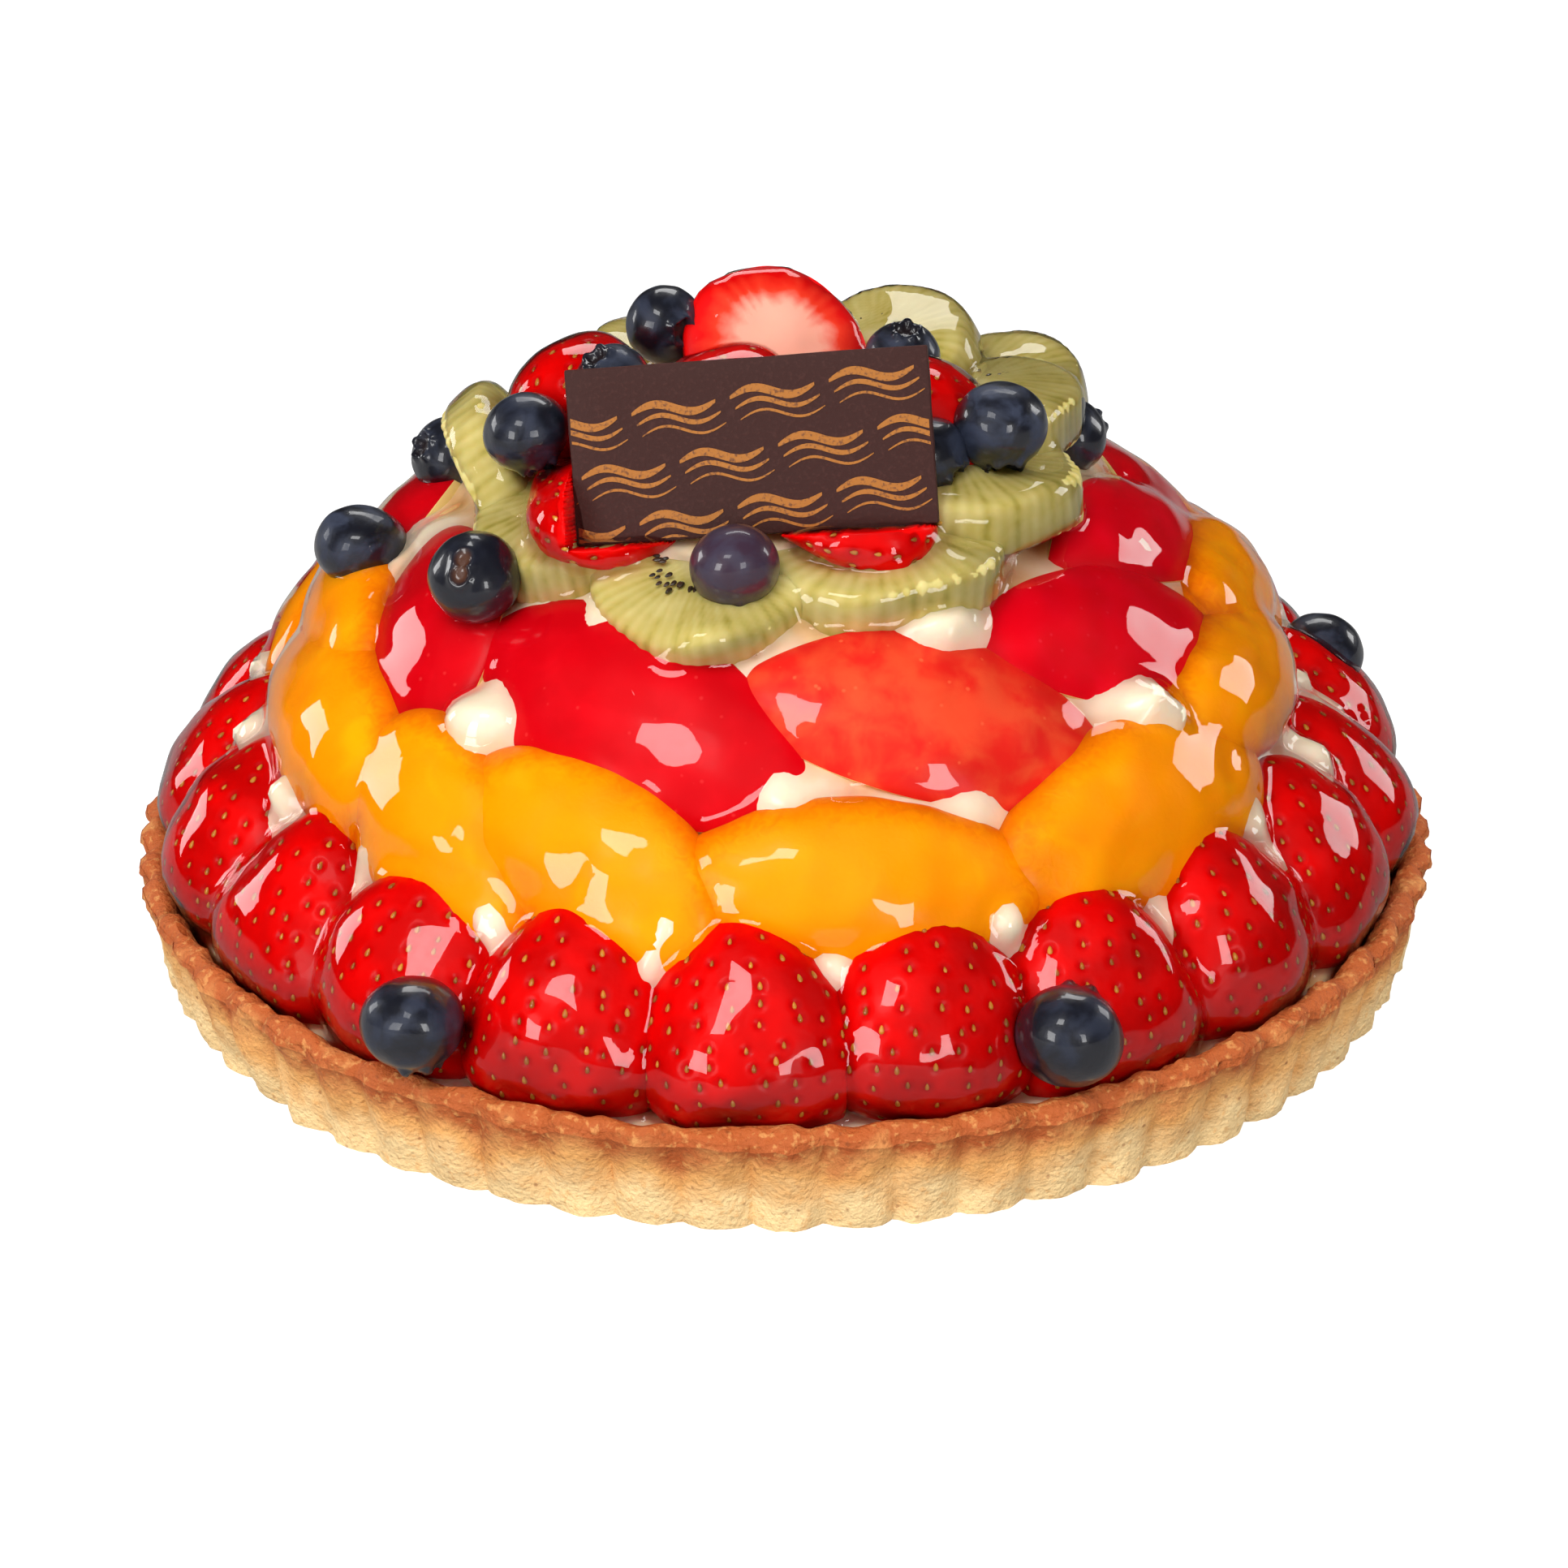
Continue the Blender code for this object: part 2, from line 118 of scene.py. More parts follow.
def pick(piece: Piece) -> None:
    """Makes one piece the only selected one, and active."""
    rest()
    piece.select_set(True)
    bpy.context.view_layer.objects.active = piece


def named(name: str) -> Piece:
    """Names the piece that was just added, and its mesh."""
    piece = bpy.context.object
    piece.name = piece.data.name = name
    return piece


@contextmanager
def editing(piece: Piece) -> Iterator[None]:
    """Holds a piece in edit mode with all of it selected."""
    pick(piece)
    bpy.ops.object.mode_set(mode="EDIT")
    bpy.ops.mesh.select_all(action="SELECT")
    yield
    bpy.ops.object.mode_set(mode="OBJECT")


def apply_modifier(piece: Piece, kind: str, **settings: object) -> None:
    """Adds one modifier, sets it and applies it.

    Args:
        piece: The piece to change.
        kind: The modifier's type.
        settings: Its properties by name.
    """
    pick(piece)
    modifier = piece.modifiers.new(kind.lower(), kind)
    for name, value in settings.items():
        setattr(modifier, name, value)
    bpy.ops.object.modifier_apply(modifier=modifier.name)


def points_of(piece: Piece) -> Array:
    """The piece's points, one row each."""
    flat = np.empty(len(piece.data.vertices) * 3, np.float32)
    piece.data.vertices.foreach_get("co", flat)
    return flat.reshape(-1, 3).astype(float)


def set_points(piece: Piece, points: Array) -> None:
    """Moves the piece's points."""
    piece.data.vertices.foreach_set("co", points.astype(np.float32).ravel())
    piece.data.update()


def normals_of(piece: Piece) -> Array:
    """The outward direction at each of the piece's points."""
    flat = np.empty(len(piece.data.vertices) * 3, np.float32)
    piece.data.vertex_normals.foreach_get("vector", flat)
    return flat.reshape(-1, 3).astype(float)


def swell(piece: Piece, amount: Array | float) -> None:
    """Moves each point out along its normal."""
    amount = np.broadcast_to(amount, len(piece.data.vertices))
    set_points(piece, points_of(piece) + normals_of(piece) * amount[:, None])


def keep_layer(piece: Piece, name: str, values: Array) -> None:
    """Stores a number for each point, which a finish reads by name."""
    layer = piece.data.attributes.new(name, "FLOAT", "POINT")
    layer.data.foreach_set("value", values.astype(np.float32))


def smooth(piece: Piece, angle: float = 180.0) -> None:
    """Shades a piece smooth, with its edges over an angle left sharp."""
    pick(piece)
    if angle < 180:
        bpy.ops.object.shade_smooth_by_angle(angle=math.radians(angle))
    else:
        bpy.ops.object.shade_smooth()


def ball(name: str, level: int) -> Piece:
    """A unit ball with even faces, to be shaped."""
    rest()
    bpy.ops.mesh.primitive_ico_sphere_add(subdivisions=level, radius=1)
    return named(name)


def join(pieces: Sequence[Piece], name: str) -> Piece:
    """Joins pieces into the first one.

    Args:
        pieces: The pieces, which become one.
        name: The joined piece's name.

    Returns:
        The joined piece.
    """
    pick(pieces[0])
    for piece in pieces[1:]:
        piece.select_set(True)
    bpy.ops.object.join()
    return named(name)


def copies(pieces: Sequence[Piece]) -> list[Piece]:
    """Copies of pieces, each with its own mesh."""
    rest()
    made = []
    for piece in pieces:
        copy = piece.copy()
        copy.data = piece.data.copy()
        bpy.context.scene.collection.objects.link(copy)
        made.append(copy)
    return made


def lumps(points: Array, size: float, seed: int, waves: int = 9) -> Array:
    """Smooth uneven lumps, from about -1 to 1.

    Args:
        points: The points to read them at.
        size: How wide a lump is.
        seed: Which lumps.
        waves: How many crossing waves make them.

    Returns:
        One height for each point.
    """
    chance = np.random.default_rng(seed)
    ways = chance.normal(size=(waves, 3))
    ways *= (chance.uniform(0.6, 1.5, waves) * math.pi / size / np.linalg.norm(ways, axis=1))[:, None]
    start = chance.uniform(0, 2 * math.pi, waves)
    return np.sin(points @ ways.T + start).sum(axis=1) / math.sqrt(waves) / 1.2


def step_between(values: Array, low: float, high: float) -> Array:
    """A soft step from 0 at low to 1 at high."""
    share = np.clip((values - low) / (high - low), 0, 1)
    return share * share * (3 - 2 * share)


def unit(vector: Array) -> Array:
    """A vector, or each row of several, at length 1."""
    return vector / np.linalg.norm(vector, axis=-1, keepdims=True)


def outward(azimuth: float) -> Array:
    """The level direction away from the axis."""
    angle = math.radians(azimuth)
    return np.array((math.sin(angle), -math.cos(angle), 0.0))


def azimuth_of(point: Array) -> float:
    """The azimuth of a point."""
    return math.degrees(math.atan2(point[0], -point[1]))


@dataclass(frozen=True)
class Place:
    """A frame of three directions at a point: along, over and out of the surface."""

    centre: Array
    along: Array
    across: Array
    out: Array

    def put(self, local: Array) -> Array:
        """Turns local points into the tart's own."""
        return self.centre + local @ np.stack((self.along, self.across, self.out))

    @classmethod
    def facing(cls, centre: Array, along: Array, out: Array) -> Place:
        """A place that faces out exactly, and runs along as nearly as it can."""
        out = unit(out)
        along = unit(along - out * (along @ out))
        return cls(centre, along, np.cross(out, along), out)


@dataclass(frozen=True)
class Hold:
    """The box that fits a node best: its centre, its axes from the longest down, and its half sizes."""

    centre: Array
    axes: Array
    half: Array
    points: Array

    @classmethod
    def of(cls, node: Piece) -> Hold:
        """Reads the box from a node's mesh."""
        count = len(node.data.polygons)
        centres, areas = np.empty(count * 3), np.empty(count)
        node.data.polygons.foreach_get("center", centres)
        node.data.polygons.foreach_get("area", areas)
        centres = centres.reshape(-1, 3)
        middle = (centres * areas[:, None]).sum(axis=0) / areas.sum()
        spread = (centres - middle) * np.sqrt(areas)[:, None]
        axes = np.linalg.eigh(spread.T @ spread)[1].T[::-1]
        points = points_of(node)
        local = (points - middle) @ axes.T
        low, high = local.min(axis=0), local.max(axis=0)
        return cls(middle + (low + high) / 2 @ axes, axes, (high - low) / 2, points)


@dataclass(frozen=True)
class Dome:
    """The cream's round: full at its foot and round at its top."""

    radius: float
    height: float
    fullness: float = 0.62

    def radius_at(self, height: Array) -> Array:
        """The radius at each height."""
        share = np.clip(height / self.height, 0, 0.999)
        return self.radius * (1 - share * share) ** self.fullness

    def normal_at(self, points: Array) -> Array:
        """The outward direction near each point."""
        step = 0.5 * MM
        height = points[:, 2]
        drop = (self.radius_at(height - step) - self.radius_at(height + step)) / (2 * step)
        level = points[:, :2] / np.maximum(np.linalg.norm(points[:, :2], axis=1), step)[:, None]
        return unit(np.column_stack((level, drop)))

    def foot_of(self, points: Array) -> Array:
        """The nearest point on the dome to each point, near enough."""
        foot = points.copy()
        for _ in range(5):
            normal = self.normal_at(foot)
            gap = np.linalg.norm(foot[:, :2], axis=1) - self.radius_at(foot[:, 2])
            foot -= normal * (gap * np.linalg.norm(normal[:, :2], axis=1))[:, None]
        return foot

    def on(self, azimuth: float, height: float) -> tuple[Array, Array]:
        """The point at an azimuth and height, and the outward direction there."""
        point = outward(azimuth) * float(self.radius_at(np.array(height))) + (0, 0, height)
        return point, self.normal_at(point[None])[0]


# ---------------------------------------------------------------- materials


class Signal:
    """A value inside a material. Arithmetic on it adds Math nodes."""

    def __init__(self, recipe: Recipe, socket: bpy.types.NodeSocket) -> None:
        self.recipe = recipe
        self.socket = socket

    def __add__(self, other: Signal | float) -> Signal:
        """Adds."""
        return self.recipe.math("ADD", self, other)

    def __radd__(self, other: float) -> Signal:
        """Adds to a number."""
        return self.recipe.math("ADD", other, self)

    def __sub__(self, other: Signal | float) -> Signal:
        """Takes away."""
        return self.recipe.math("SUBTRACT", self, other)

    def __rsub__(self, other: float) -> Signal:
        """Takes from a number."""
        return self.recipe.math("SUBTRACT", other, self)

    def __mul__(self, other: Signal | float) -> Signal:
        """Multiplies."""
        return self.recipe.math("MULTIPLY", self, other)

    def __rmul__(self, other: float) -> Signal:
        """Multiplies a number."""
        return self.recipe.math("MULTIPLY", other, self)

    def __pow__(self, other: float) -> Signal:
        """Raises to a power."""
        return self.recipe.math("POWER", self, other)

    def between(self, low: float, high: float) -> Signal:
        """A soft step from 0 at low to 1 at high."""
        sockets = {"Value": self, "From Min": low, "From Max": high}
        node = self.recipe.node("ShaderNodeMapRange", {"interpolation_type": "SMOOTHSTEP"}, sockets)
        return Signal(self.recipe, node.outputs["Result"])


class Recipe:
    """One material's nodes round its Principled shader."""

    def __init__(self, name: str) -> None:
        self.material = bpy.data.materials.new(name)
        self.material.use_nodes = True
        self.tree = self.material.node_tree
        self.shader = self.tree.nodes["Principled BSDF"]

    def feed(self, socket: bpy.types.NodeSocket, value: object) -> None:
        """Links a signal to a socket, or sets the socket's plain value."""
        if isinstance(value, Signal):
            self.tree.links.new(value.socket, socket)
        elif socket.type == "RGBA":
            socket.default_value = (*value, 1)
        else:
            socket.default_value = value

    def node(
        self,
        kind: str,
        settings: Mapping[str, object] | None = None,
        sockets: Mapping[str | int, object] | None = None,
    ) -> bpy.types.Node:
        """Adds a node.

        Args:
            kind: The node's type.
            settings: Its properties, set first. A ramp's stops are pairs of a place and a colour.
            sockets: Values or signals for its inputs.

        Returns:
            The node.
        """
        made = self.tree.nodes.new(kind)
        for name, value in (settings or {}).items():
            if name == "stops":
                self.set_stops(made.color_ramp, value)
            else:
                setattr(made, name, value)
        for key, value in (sockets or {}).items():
            self.feed(made.inputs[key], value)
        return made

    @staticmethod
    def set_stops(ramp: bpy.types.ColorRamp, stops: Sequence[tuple[float, Colour]]) -> None:
        """Gives a ramp its stops."""
        while len(ramp.elements) < len(stops):
            ramp.elements.new(1)
        for element, (place, colour) in zip(ramp.elements, stops):
            element.position = place
            element.color = (*colour, 1)

    def math(self, operation: str, first: Signal | float, second: Signal | float) -> Signal:
        """Adds one Math node."""
        node = self.node("ShaderNodeMath", {"operation": operation}, {0: first, 1: second})
        return Signal(self, node.outputs[0])

    def layer(self, name: str) -> Signal:
        """A number that the mesh keeps for each point."""
        node = self.node("ShaderNodeAttribute", {"attribute_name": name})
        return Signal(self, node.outputs["Fac"])

    def place(self, stretch: tuple[float, float, float] = (1, 1, 1)) -> Signal:
        """The place in the tart's frame, squeezed along each axis."""
        source = self.node("ShaderNodeTexCoord").outputs["Object"]
        sockets = {"Vector": Signal(self, source), "Scale": stretch}
        return Signal(self, self.node("ShaderNodeMapping", None, sockets).outputs[0])

    def height(self) -> Signal:
        """The height above the ground."""
        node = self.node("ShaderNodeSeparateXYZ", None, {0: self.place()})
        return Signal(self, node.outputs["Z"])

    def noise(self, size: float, detail: float = 2, place: Signal | None = None, warp: float = 0) -> Signal:
        """Cloudy noise from 0 to 1, whose blotches are as wide as size."""
        sockets = {
            "Vector": place or self.place(),
            "Scale": 1 / size,
            "Detail": detail,
            "Distortion": warp,
        }
        return Signal(self, self.node("ShaderNodeTexNoise", None, sockets).outputs["Fac"])

    def dots(self, size: float, place: Signal | None = None) -> Signal:
        """The distance to scattered points, in shares of their spacing."""
        sockets = {"Vector": place or self.place(), "Scale": 1 / size}
        return Signal(self, self.node("ShaderNodeTexVoronoi", None, sockets).outputs["Distance"])

    def ramp(self, factor: Signal, stops: Sequence[tuple[float, Colour]]) -> Signal:
        """Colours along a factor."""
        node = self.node("ShaderNodeValToRGB", {"stops": stops}, {"Fac": factor})
        return Signal(self, node.outputs["Color"])

    def blend(self, factor: Signal | float, first: Signal | Colour, second: Signal | Colour) -> Signal:
        """The first colour where the factor is 0, and the second where it is 1."""
        settings = {"data_type": "RGBA", "clamp_factor": True}
        node = self.node("ShaderNodeMix", settings, {0: factor, 6: first, 7: second})
        return Signal(self, node.outputs[2])

    def bump(self, height: Signal, distance: float, strength: float = 1) -> Signal:
        """A normal that follows a height from 0 to 1, as deep as distance."""
        sockets = {"Height": height, "Distance": distance, "Strength": strength}
        return Signal(self, self.node("ShaderNodeBump", None, sockets).outputs["Normal"])

    def dress(self, **sockets: object) -> bpy.types.Material:
        """Sets the shader's sockets, whose names have underscores for spaces, and gives the material."""
        for name, value in sockets.items():
            self.feed(self.shader.inputs[name.replace("_", " ")], value)
        return self.material


@dataclass(frozen=True)
class WetFlesh:
    """How soft, wet fruit takes light: a little light under its surface, and a clear coat."""

    roughness: float = 0.4
    gloss: float = 0.08
    depth: float = 2 * MM
    share: float = 0.12
    coat: float = 0.04
    coat_roughness: float = 0.1

    def dress(self, recipe: Recipe, colour: Signal, **more: object) -> bpy.types.Material:
        """Finishes a recipe with this wet look."""
        sockets = {
            "Base_Color": colour,
            "Roughness": self.roughness,
            "Specular_IOR_Level": self.gloss,
            "Subsurface_Weight": self.share,
            "Subsurface_Scale": self.depth,
            "Coat_Weight": self.coat,
            "Coat_Roughness": self.coat_roughness,
        }
        return recipe.dress(**(sockets | more))


@dataclass(frozen=True)
class StrawberrySkin:
    """Bright red skin with deeper red clouds, and painted shade: a darker red in its dimples."""

    red: Colour = srgb(222, 0, 0)
    deep: Colour = srgb(196, 0, 0)
    dimple_shade: Colour = srgb(160, 2, 8)
    wet: WetFlesh = WetFlesh(roughness=0.3)

    def material(self) -> bpy.types.Material:
        """Makes the material."""
        recipe = Recipe("strawberry_skin")
        skin = recipe.blend(recipe.noise(9 * MM).between(0.35, 0.7), self.red, self.deep)
        # painted shade: the skin is painted a darker red in each seed's dimple, where shade falls
        skin = recipe.blend(recipe.layer("dimple") * 0.75, skin, self.dimple_shade)
        grain = recipe.noise(1.4 * MM, detail=1)
        return self.wet.dress(recipe, skin, Normal=recipe.bump(grain, 0.06 * MM))


@dataclass(frozen=True)
class StrawberryCut:
    """A cut strawberry: a white heart, red streaks from it, and the red skin round it."""

    skin: Colour = srgb(225, 8, 10)
    flesh: Colour = srgb(238, 66, 40)
    heart: Colour = srgb(246, 186, 164)
    wet: WetFlesh = WetFlesh(roughness=0.35)

    def material(self) -> bpy.types.Material:
        """Makes the material."""
        recipe = Recipe("strawberry_cut")
        from_edge = recipe.layer("heart") + recipe.layer("streak") * 0.035 + recipe.noise(4 * MM, detail=3) * 0.32
        stops = [(0.0, self.skin), (0.26, self.skin), (0.46, self.flesh), (0.7, self.heart), (1.0, self.heart)]
        return self.wet.dress(recipe, recipe.ramp(from_edge, stops))


@dataclass(frozen=True)
class SeedCoat:
    """A small hard seed."""

    name: str
    pale: Colour
    dark: Colour

    def material(self) -> bpy.types.Material:
        """Makes the material."""
        recipe = Recipe(self.name)
        colour = recipe.blend(recipe.noise(3 * MM).between(0.35, 0.65), self.pale, self.dark)
        return recipe.dress(Base_Color=colour, Roughness=0.35, Coat_Weight=0.8, Coat_Roughness=0.05)


@dataclass(frozen=True)
class PeachFlesh:
    """Tinned peach: golden, with pale patches, and painted shade as deeper orange towards the edges."""

    gold: Colour = srgb(252, 162, 0)
    pale: Colour = srgb(253, 176, 4)
    deep: Colour = srgb(230, 116, 0)
    wet: WetFlesh = WetFlesh(roughness=0.3, share=0.15)

    def material(self) -> bpy.types.Material:
        """Makes the material."""
        recipe = Recipe("peach_flesh")
        flesh = recipe.blend(recipe.noise(11 * MM, warp=0.6).between(0.5, 0.78), self.gold, self.pale)
        fibres = recipe.noise(2.2 * MM, detail=3, warp=1.2)
        # painted shade: the flesh turns deeper orange towards each slice's edge
        edge = recipe.layer("edge") + (fibres - 0.5) * 0.35
        flesh = recipe.blend(edge.between(0.62, 1.05), flesh, self.deep)
        return self.wet.dress(recipe, flesh, Normal=recipe.bump(fibres, 0.08 * MM))


class Blush(Enum):
    """How ripe an apple's skin looks, as its main colour, its patches and its flecks."""

    CRIMSON = (srgb(206, 0, 16), srgb(216, 4, 22), srgb(226, 60, 60))
    DEEP = (srgb(224, 0, 24), srgb(230, 4, 34), srgb(234, 52, 66))
    MOTTLED = (srgb(228, 40, 30), srgb(236, 88, 50), srgb(242, 126, 78))


@dataclass(frozen=True)
class AppleSkin:
    """Red skin with pale flecks and soft patches, and pale flesh past its cut edge."""

    blush: Blush
    flesh: Colour = srgb(250, 226, 150)
    wet: WetFlesh = WetFlesh(roughness=0.3, share=0.05)

    def material(self) -> bpy.types.Material:
        """Makes the material."""
        recipe = Recipe(f"apple_{self.blush.name.lower()}")
        main, patch, fleck = self.blush.value
        streaks = recipe.noise(7 * MM, detail=4, warp=0.4)
        middle = 1 - recipe.layer("edge")
        cloud = streaks + middle * (0.22 if self.blush is Blush.MOTTLED else 0.05)
        skin = recipe.blend(cloud.between(0.42, 0.82), main, patch)
        flecks = recipe.dots(3.4 * MM) + recipe.noise(1.2 * MM) * 0.12
        skin = recipe.blend((1 - flecks.between(0.1, 0.2)) * 0.55, skin, fleck)
        skin = recipe.blend(recipe.layer("cut").between(0.3, 0.7), skin, self.flesh)
        return self.wet.dress(recipe, skin, Normal=recipe.bump(streaks, 0.05 * MM))


@dataclass(frozen=True)
class KiwiFlesh:
    """Pale olive flesh with lighter spokes and a pale heart."""

    flesh: Colour = srgb(192, 176, 100)
    pale: Colour = srgb(212, 198, 134)
    deep: Colour = srgb(158, 146, 62)
    heart: Colour = srgb(212, 200, 150)
    wet: WetFlesh = WetFlesh(roughness=0.3, share=0.2, depth=2.5 * MM)

    def material(self) -> bpy.types.Material:
        """Makes the material."""
        recipe = Recipe("kiwi_flesh")
        cloud = recipe.noise(6 * MM, detail=3)
        spokes = recipe.layer("spoke") * 0.35 + cloud * 0.9
        stops = [(0.3, self.deep), (0.52, self.flesh), (0.9, self.pale)]
        flesh = recipe.blend(recipe.layer("heart"), recipe.ramp(spokes, stops), self.heart)
        return self.wet.dress(recipe, flesh, Normal=recipe.bump(recipe.noise(1.5 * MM), 0.06 * MM))


@dataclass(frozen=True)
class BlueberrySkin:
    """Dark blue skin under a patchy pale bloom, wet in places."""

    skin: Colour = srgb(16, 17, 26)
    bloom: Colour = srgb(58, 66, 88)
    plum: Colour = srgb(56, 36, 52)
    crown: Colour = srgb(34, 26, 28)
    scar: Colour = srgb(78, 46, 30)

    def material(self) -> bpy.types.Material:
        """Makes the material."""
        recipe = Recipe("blueberry_skin")
        cloud = recipe.noise(6 * MM, detail=5, warp=0.5)
        bloom = cloud.between(0.42, 0.68) * recipe.layer("bloom")
        skin = recipe.blend(recipe.layer("plum"), self.skin, self.plum)
        skin = recipe.blend(bloom * 0.62, skin, self.bloom)
        skin = recipe.blend(recipe.layer("crown"), skin, self.crown)
        skin = recipe.blend(recipe.layer("scar"), skin, self.scar)
        return recipe.dress(
            Base_Color=skin,
            Roughness=0.36 + bloom * 0.24,
            Specular_IOR_Level=0.4,
            Coat_Weight=(1 - bloom) * 0.8,
            Coat_Roughness=0.06,
            Normal=recipe.bump(recipe.noise(1.1 * MM, detail=3), 0.05 * MM),
        )


@dataclass(frozen=True)
class WhippedCream:
    """Cream, white on its lumps and amber where glaze has run into its hollows."""

    white: Colour = srgb(248, 232, 206)
    tinted: Colour = srgb(244, 208, 162)
    amber: Colour = srgb(228, 174, 108)

    def material(self) -> bpy.types.Material:
        """Makes the material."""
        recipe = Recipe("whipped_cream")
        lump = recipe.layer("lump") + (recipe.noise(5 * MM, detail=3) - 0.5) * 0.5
        stops = [(0.12, self.amber), (0.36, self.tinted), (0.7, self.white)]
        return recipe.dress(
            Base_Color=recipe.ramp(lump, stops),
            Roughness=0.45,
            Subsurface_Weight=0.2,
            Subsurface_Scale=2 * MM,
            Coat_Weight=0.7,
            Coat_Roughness=0.12,
            Normal=recipe.bump(recipe.noise(2 * MM, detail=2), 0.15 * MM),
        )


@dataclass(frozen=True)
class BakedPastry:
    """Shortcrust: pale on its side, browned at the rim, with painted shade in the creases between its ribs, and
    fine flecks.
    """

    pale: Colour = srgb(250, 214, 154)
    gold: Colour = srgb(232, 168, 96)
    brown: Colour = srgb(180, 88, 34)
    fleck: Colour = srgb(138, 68, 26)
    rim: float = 20 * MM

    def material(self) -> bpy.types.Material:
        """Makes the material."""
        recipe = Recipe("baked_pastry")
        rise = recipe.height() * (1 / self.rim)
        cloud = recipe.noise(9 * MM, detail=4)
        # browning rises towards the rim; the crease layer adds painted shade in the grooves between the ribs
        heat = rise * 0.62 + cloud * 0.62 + recipe.layer("crease") * 0.1
        stops = [(0.44, self.pale), (0.68, self.gold), (0.9, self.brown)]
        crust = recipe.ramp(heat, stops)
        spots = recipe.noise(1.5 * MM, detail=3)
        crust = recipe.blend(spots.between(0.54, 0.7) * 0.5, crust, self.gold)
        flecks = recipe.dots(3.1 * MM) + recipe.noise(0.8 * MM) * 0.2
        crust = recipe.blend((1 - flecks.between(0.12, 0.28)) * 0.6, crust, self.fleck)
        crumb = recipe.noise(0.9 * MM, detail=4) + spots * 0.6
        return recipe.dress(Base_Color=crust, Roughness=0.75, Normal=recipe.bump(crumb, 0.6 * MM))


@dataclass(frozen=True)
class DarkChocolate:
    """A matt chocolate sheet with a fine grain."""

    brown: Colour = srgb(58, 30, 26)
    bloom: Colour = srgb(74, 42, 37)

    def material(self) -> bpy.types.Material:
        """Makes the material."""
        recipe = Recipe("dark_chocolate")
        grain = recipe.noise(0.7 * MM, detail=2)
        colour = recipe.blend(grain.between(0.5, 0.75) * 0.5, self.brown, self.bloom)
        bump = recipe.bump(grain, 0.1 * MM)
        return recipe.dress(Base_Color=colour, Roughness=0.55, Specular_IOR_Level=0.2, Normal=bump)


@dataclass(frozen=True)
class Gilding:
    """Gold dusting, thin enough for the chocolate to show through in places."""

    gold: Colour = srgb(164, 98, 14)
    thin: Colour = srgb(110, 60, 16)

    def material(self) -> bpy.types.Material:
        """Makes the material."""
        recipe = Recipe("gilding")
        dust = recipe.noise(0.6 * MM, detail=3)
        colour = recipe.blend(dust.between(0.5, 0.7), self.gold, self.thin)
        return recipe.dress(Base_Color=colour, Roughness=0.5, Normal=recipe.bump(dust, 0.1 * MM))


@dataclass(frozen=True)
class ClearGlaze:
    """A clear film: nothing but its reflection shows."""

    bend: float = 1.45
    roughness: float = 0.03

    def material(self) -> bpy.types.Material:
        """Makes the material."""
        recipe = Recipe("clear_glaze")
        recipe.dress(Base_Color=(1, 1, 1), Metallic=1.0, Roughness=self.roughness)
        gloss = Signal(recipe, recipe.shader.outputs[0])
        clear = Signal(recipe, recipe.node("ShaderNodeBsdfTransparent").outputs[0])
        shine = Signal(recipe, recipe.node("ShaderNodeFresnel", None, {"IOR": self.bend}).outputs[0])
        mixed = recipe.node("ShaderNodeMixShader", None, {0: shine, 1: clear, 2: gloss})
        output = recipe.tree.nodes["Material Output"]
        recipe.tree.links.new(mixed.outputs[0], output.inputs["Surface"])
        return recipe.material


# ---------------------------------------------------------------- the tart


class Part:
    """What every sub-assembly shares: how a finished piece joins the tart."""

    def settle(
        self,
        piece: Piece,
        material: bpy.types.Material,
        slot: str,
        nodes: Sequence[str],
        angle: float = 180.0,
    ) -> Piece:
        """Dresses a piece, gives it its body, and hides the nodes that it stands for.

        Args:
            piece: The piece.
            material: Its finish.
            slot: Not used.
            nodes: The nodes that it replaces.
            angle: The angle above which its edges stay sharp.

        Returns:
            The piece.
        """
        piece.data.materials.clear()
        piece.data.materials.append(material)
        smooth(piece, angle)
        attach(piece, BODY)
        if nodes:
            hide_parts(*nodes)
        LOG.info("%s: %d faces", piece.name, len(piece.data.polygons))
        return piece


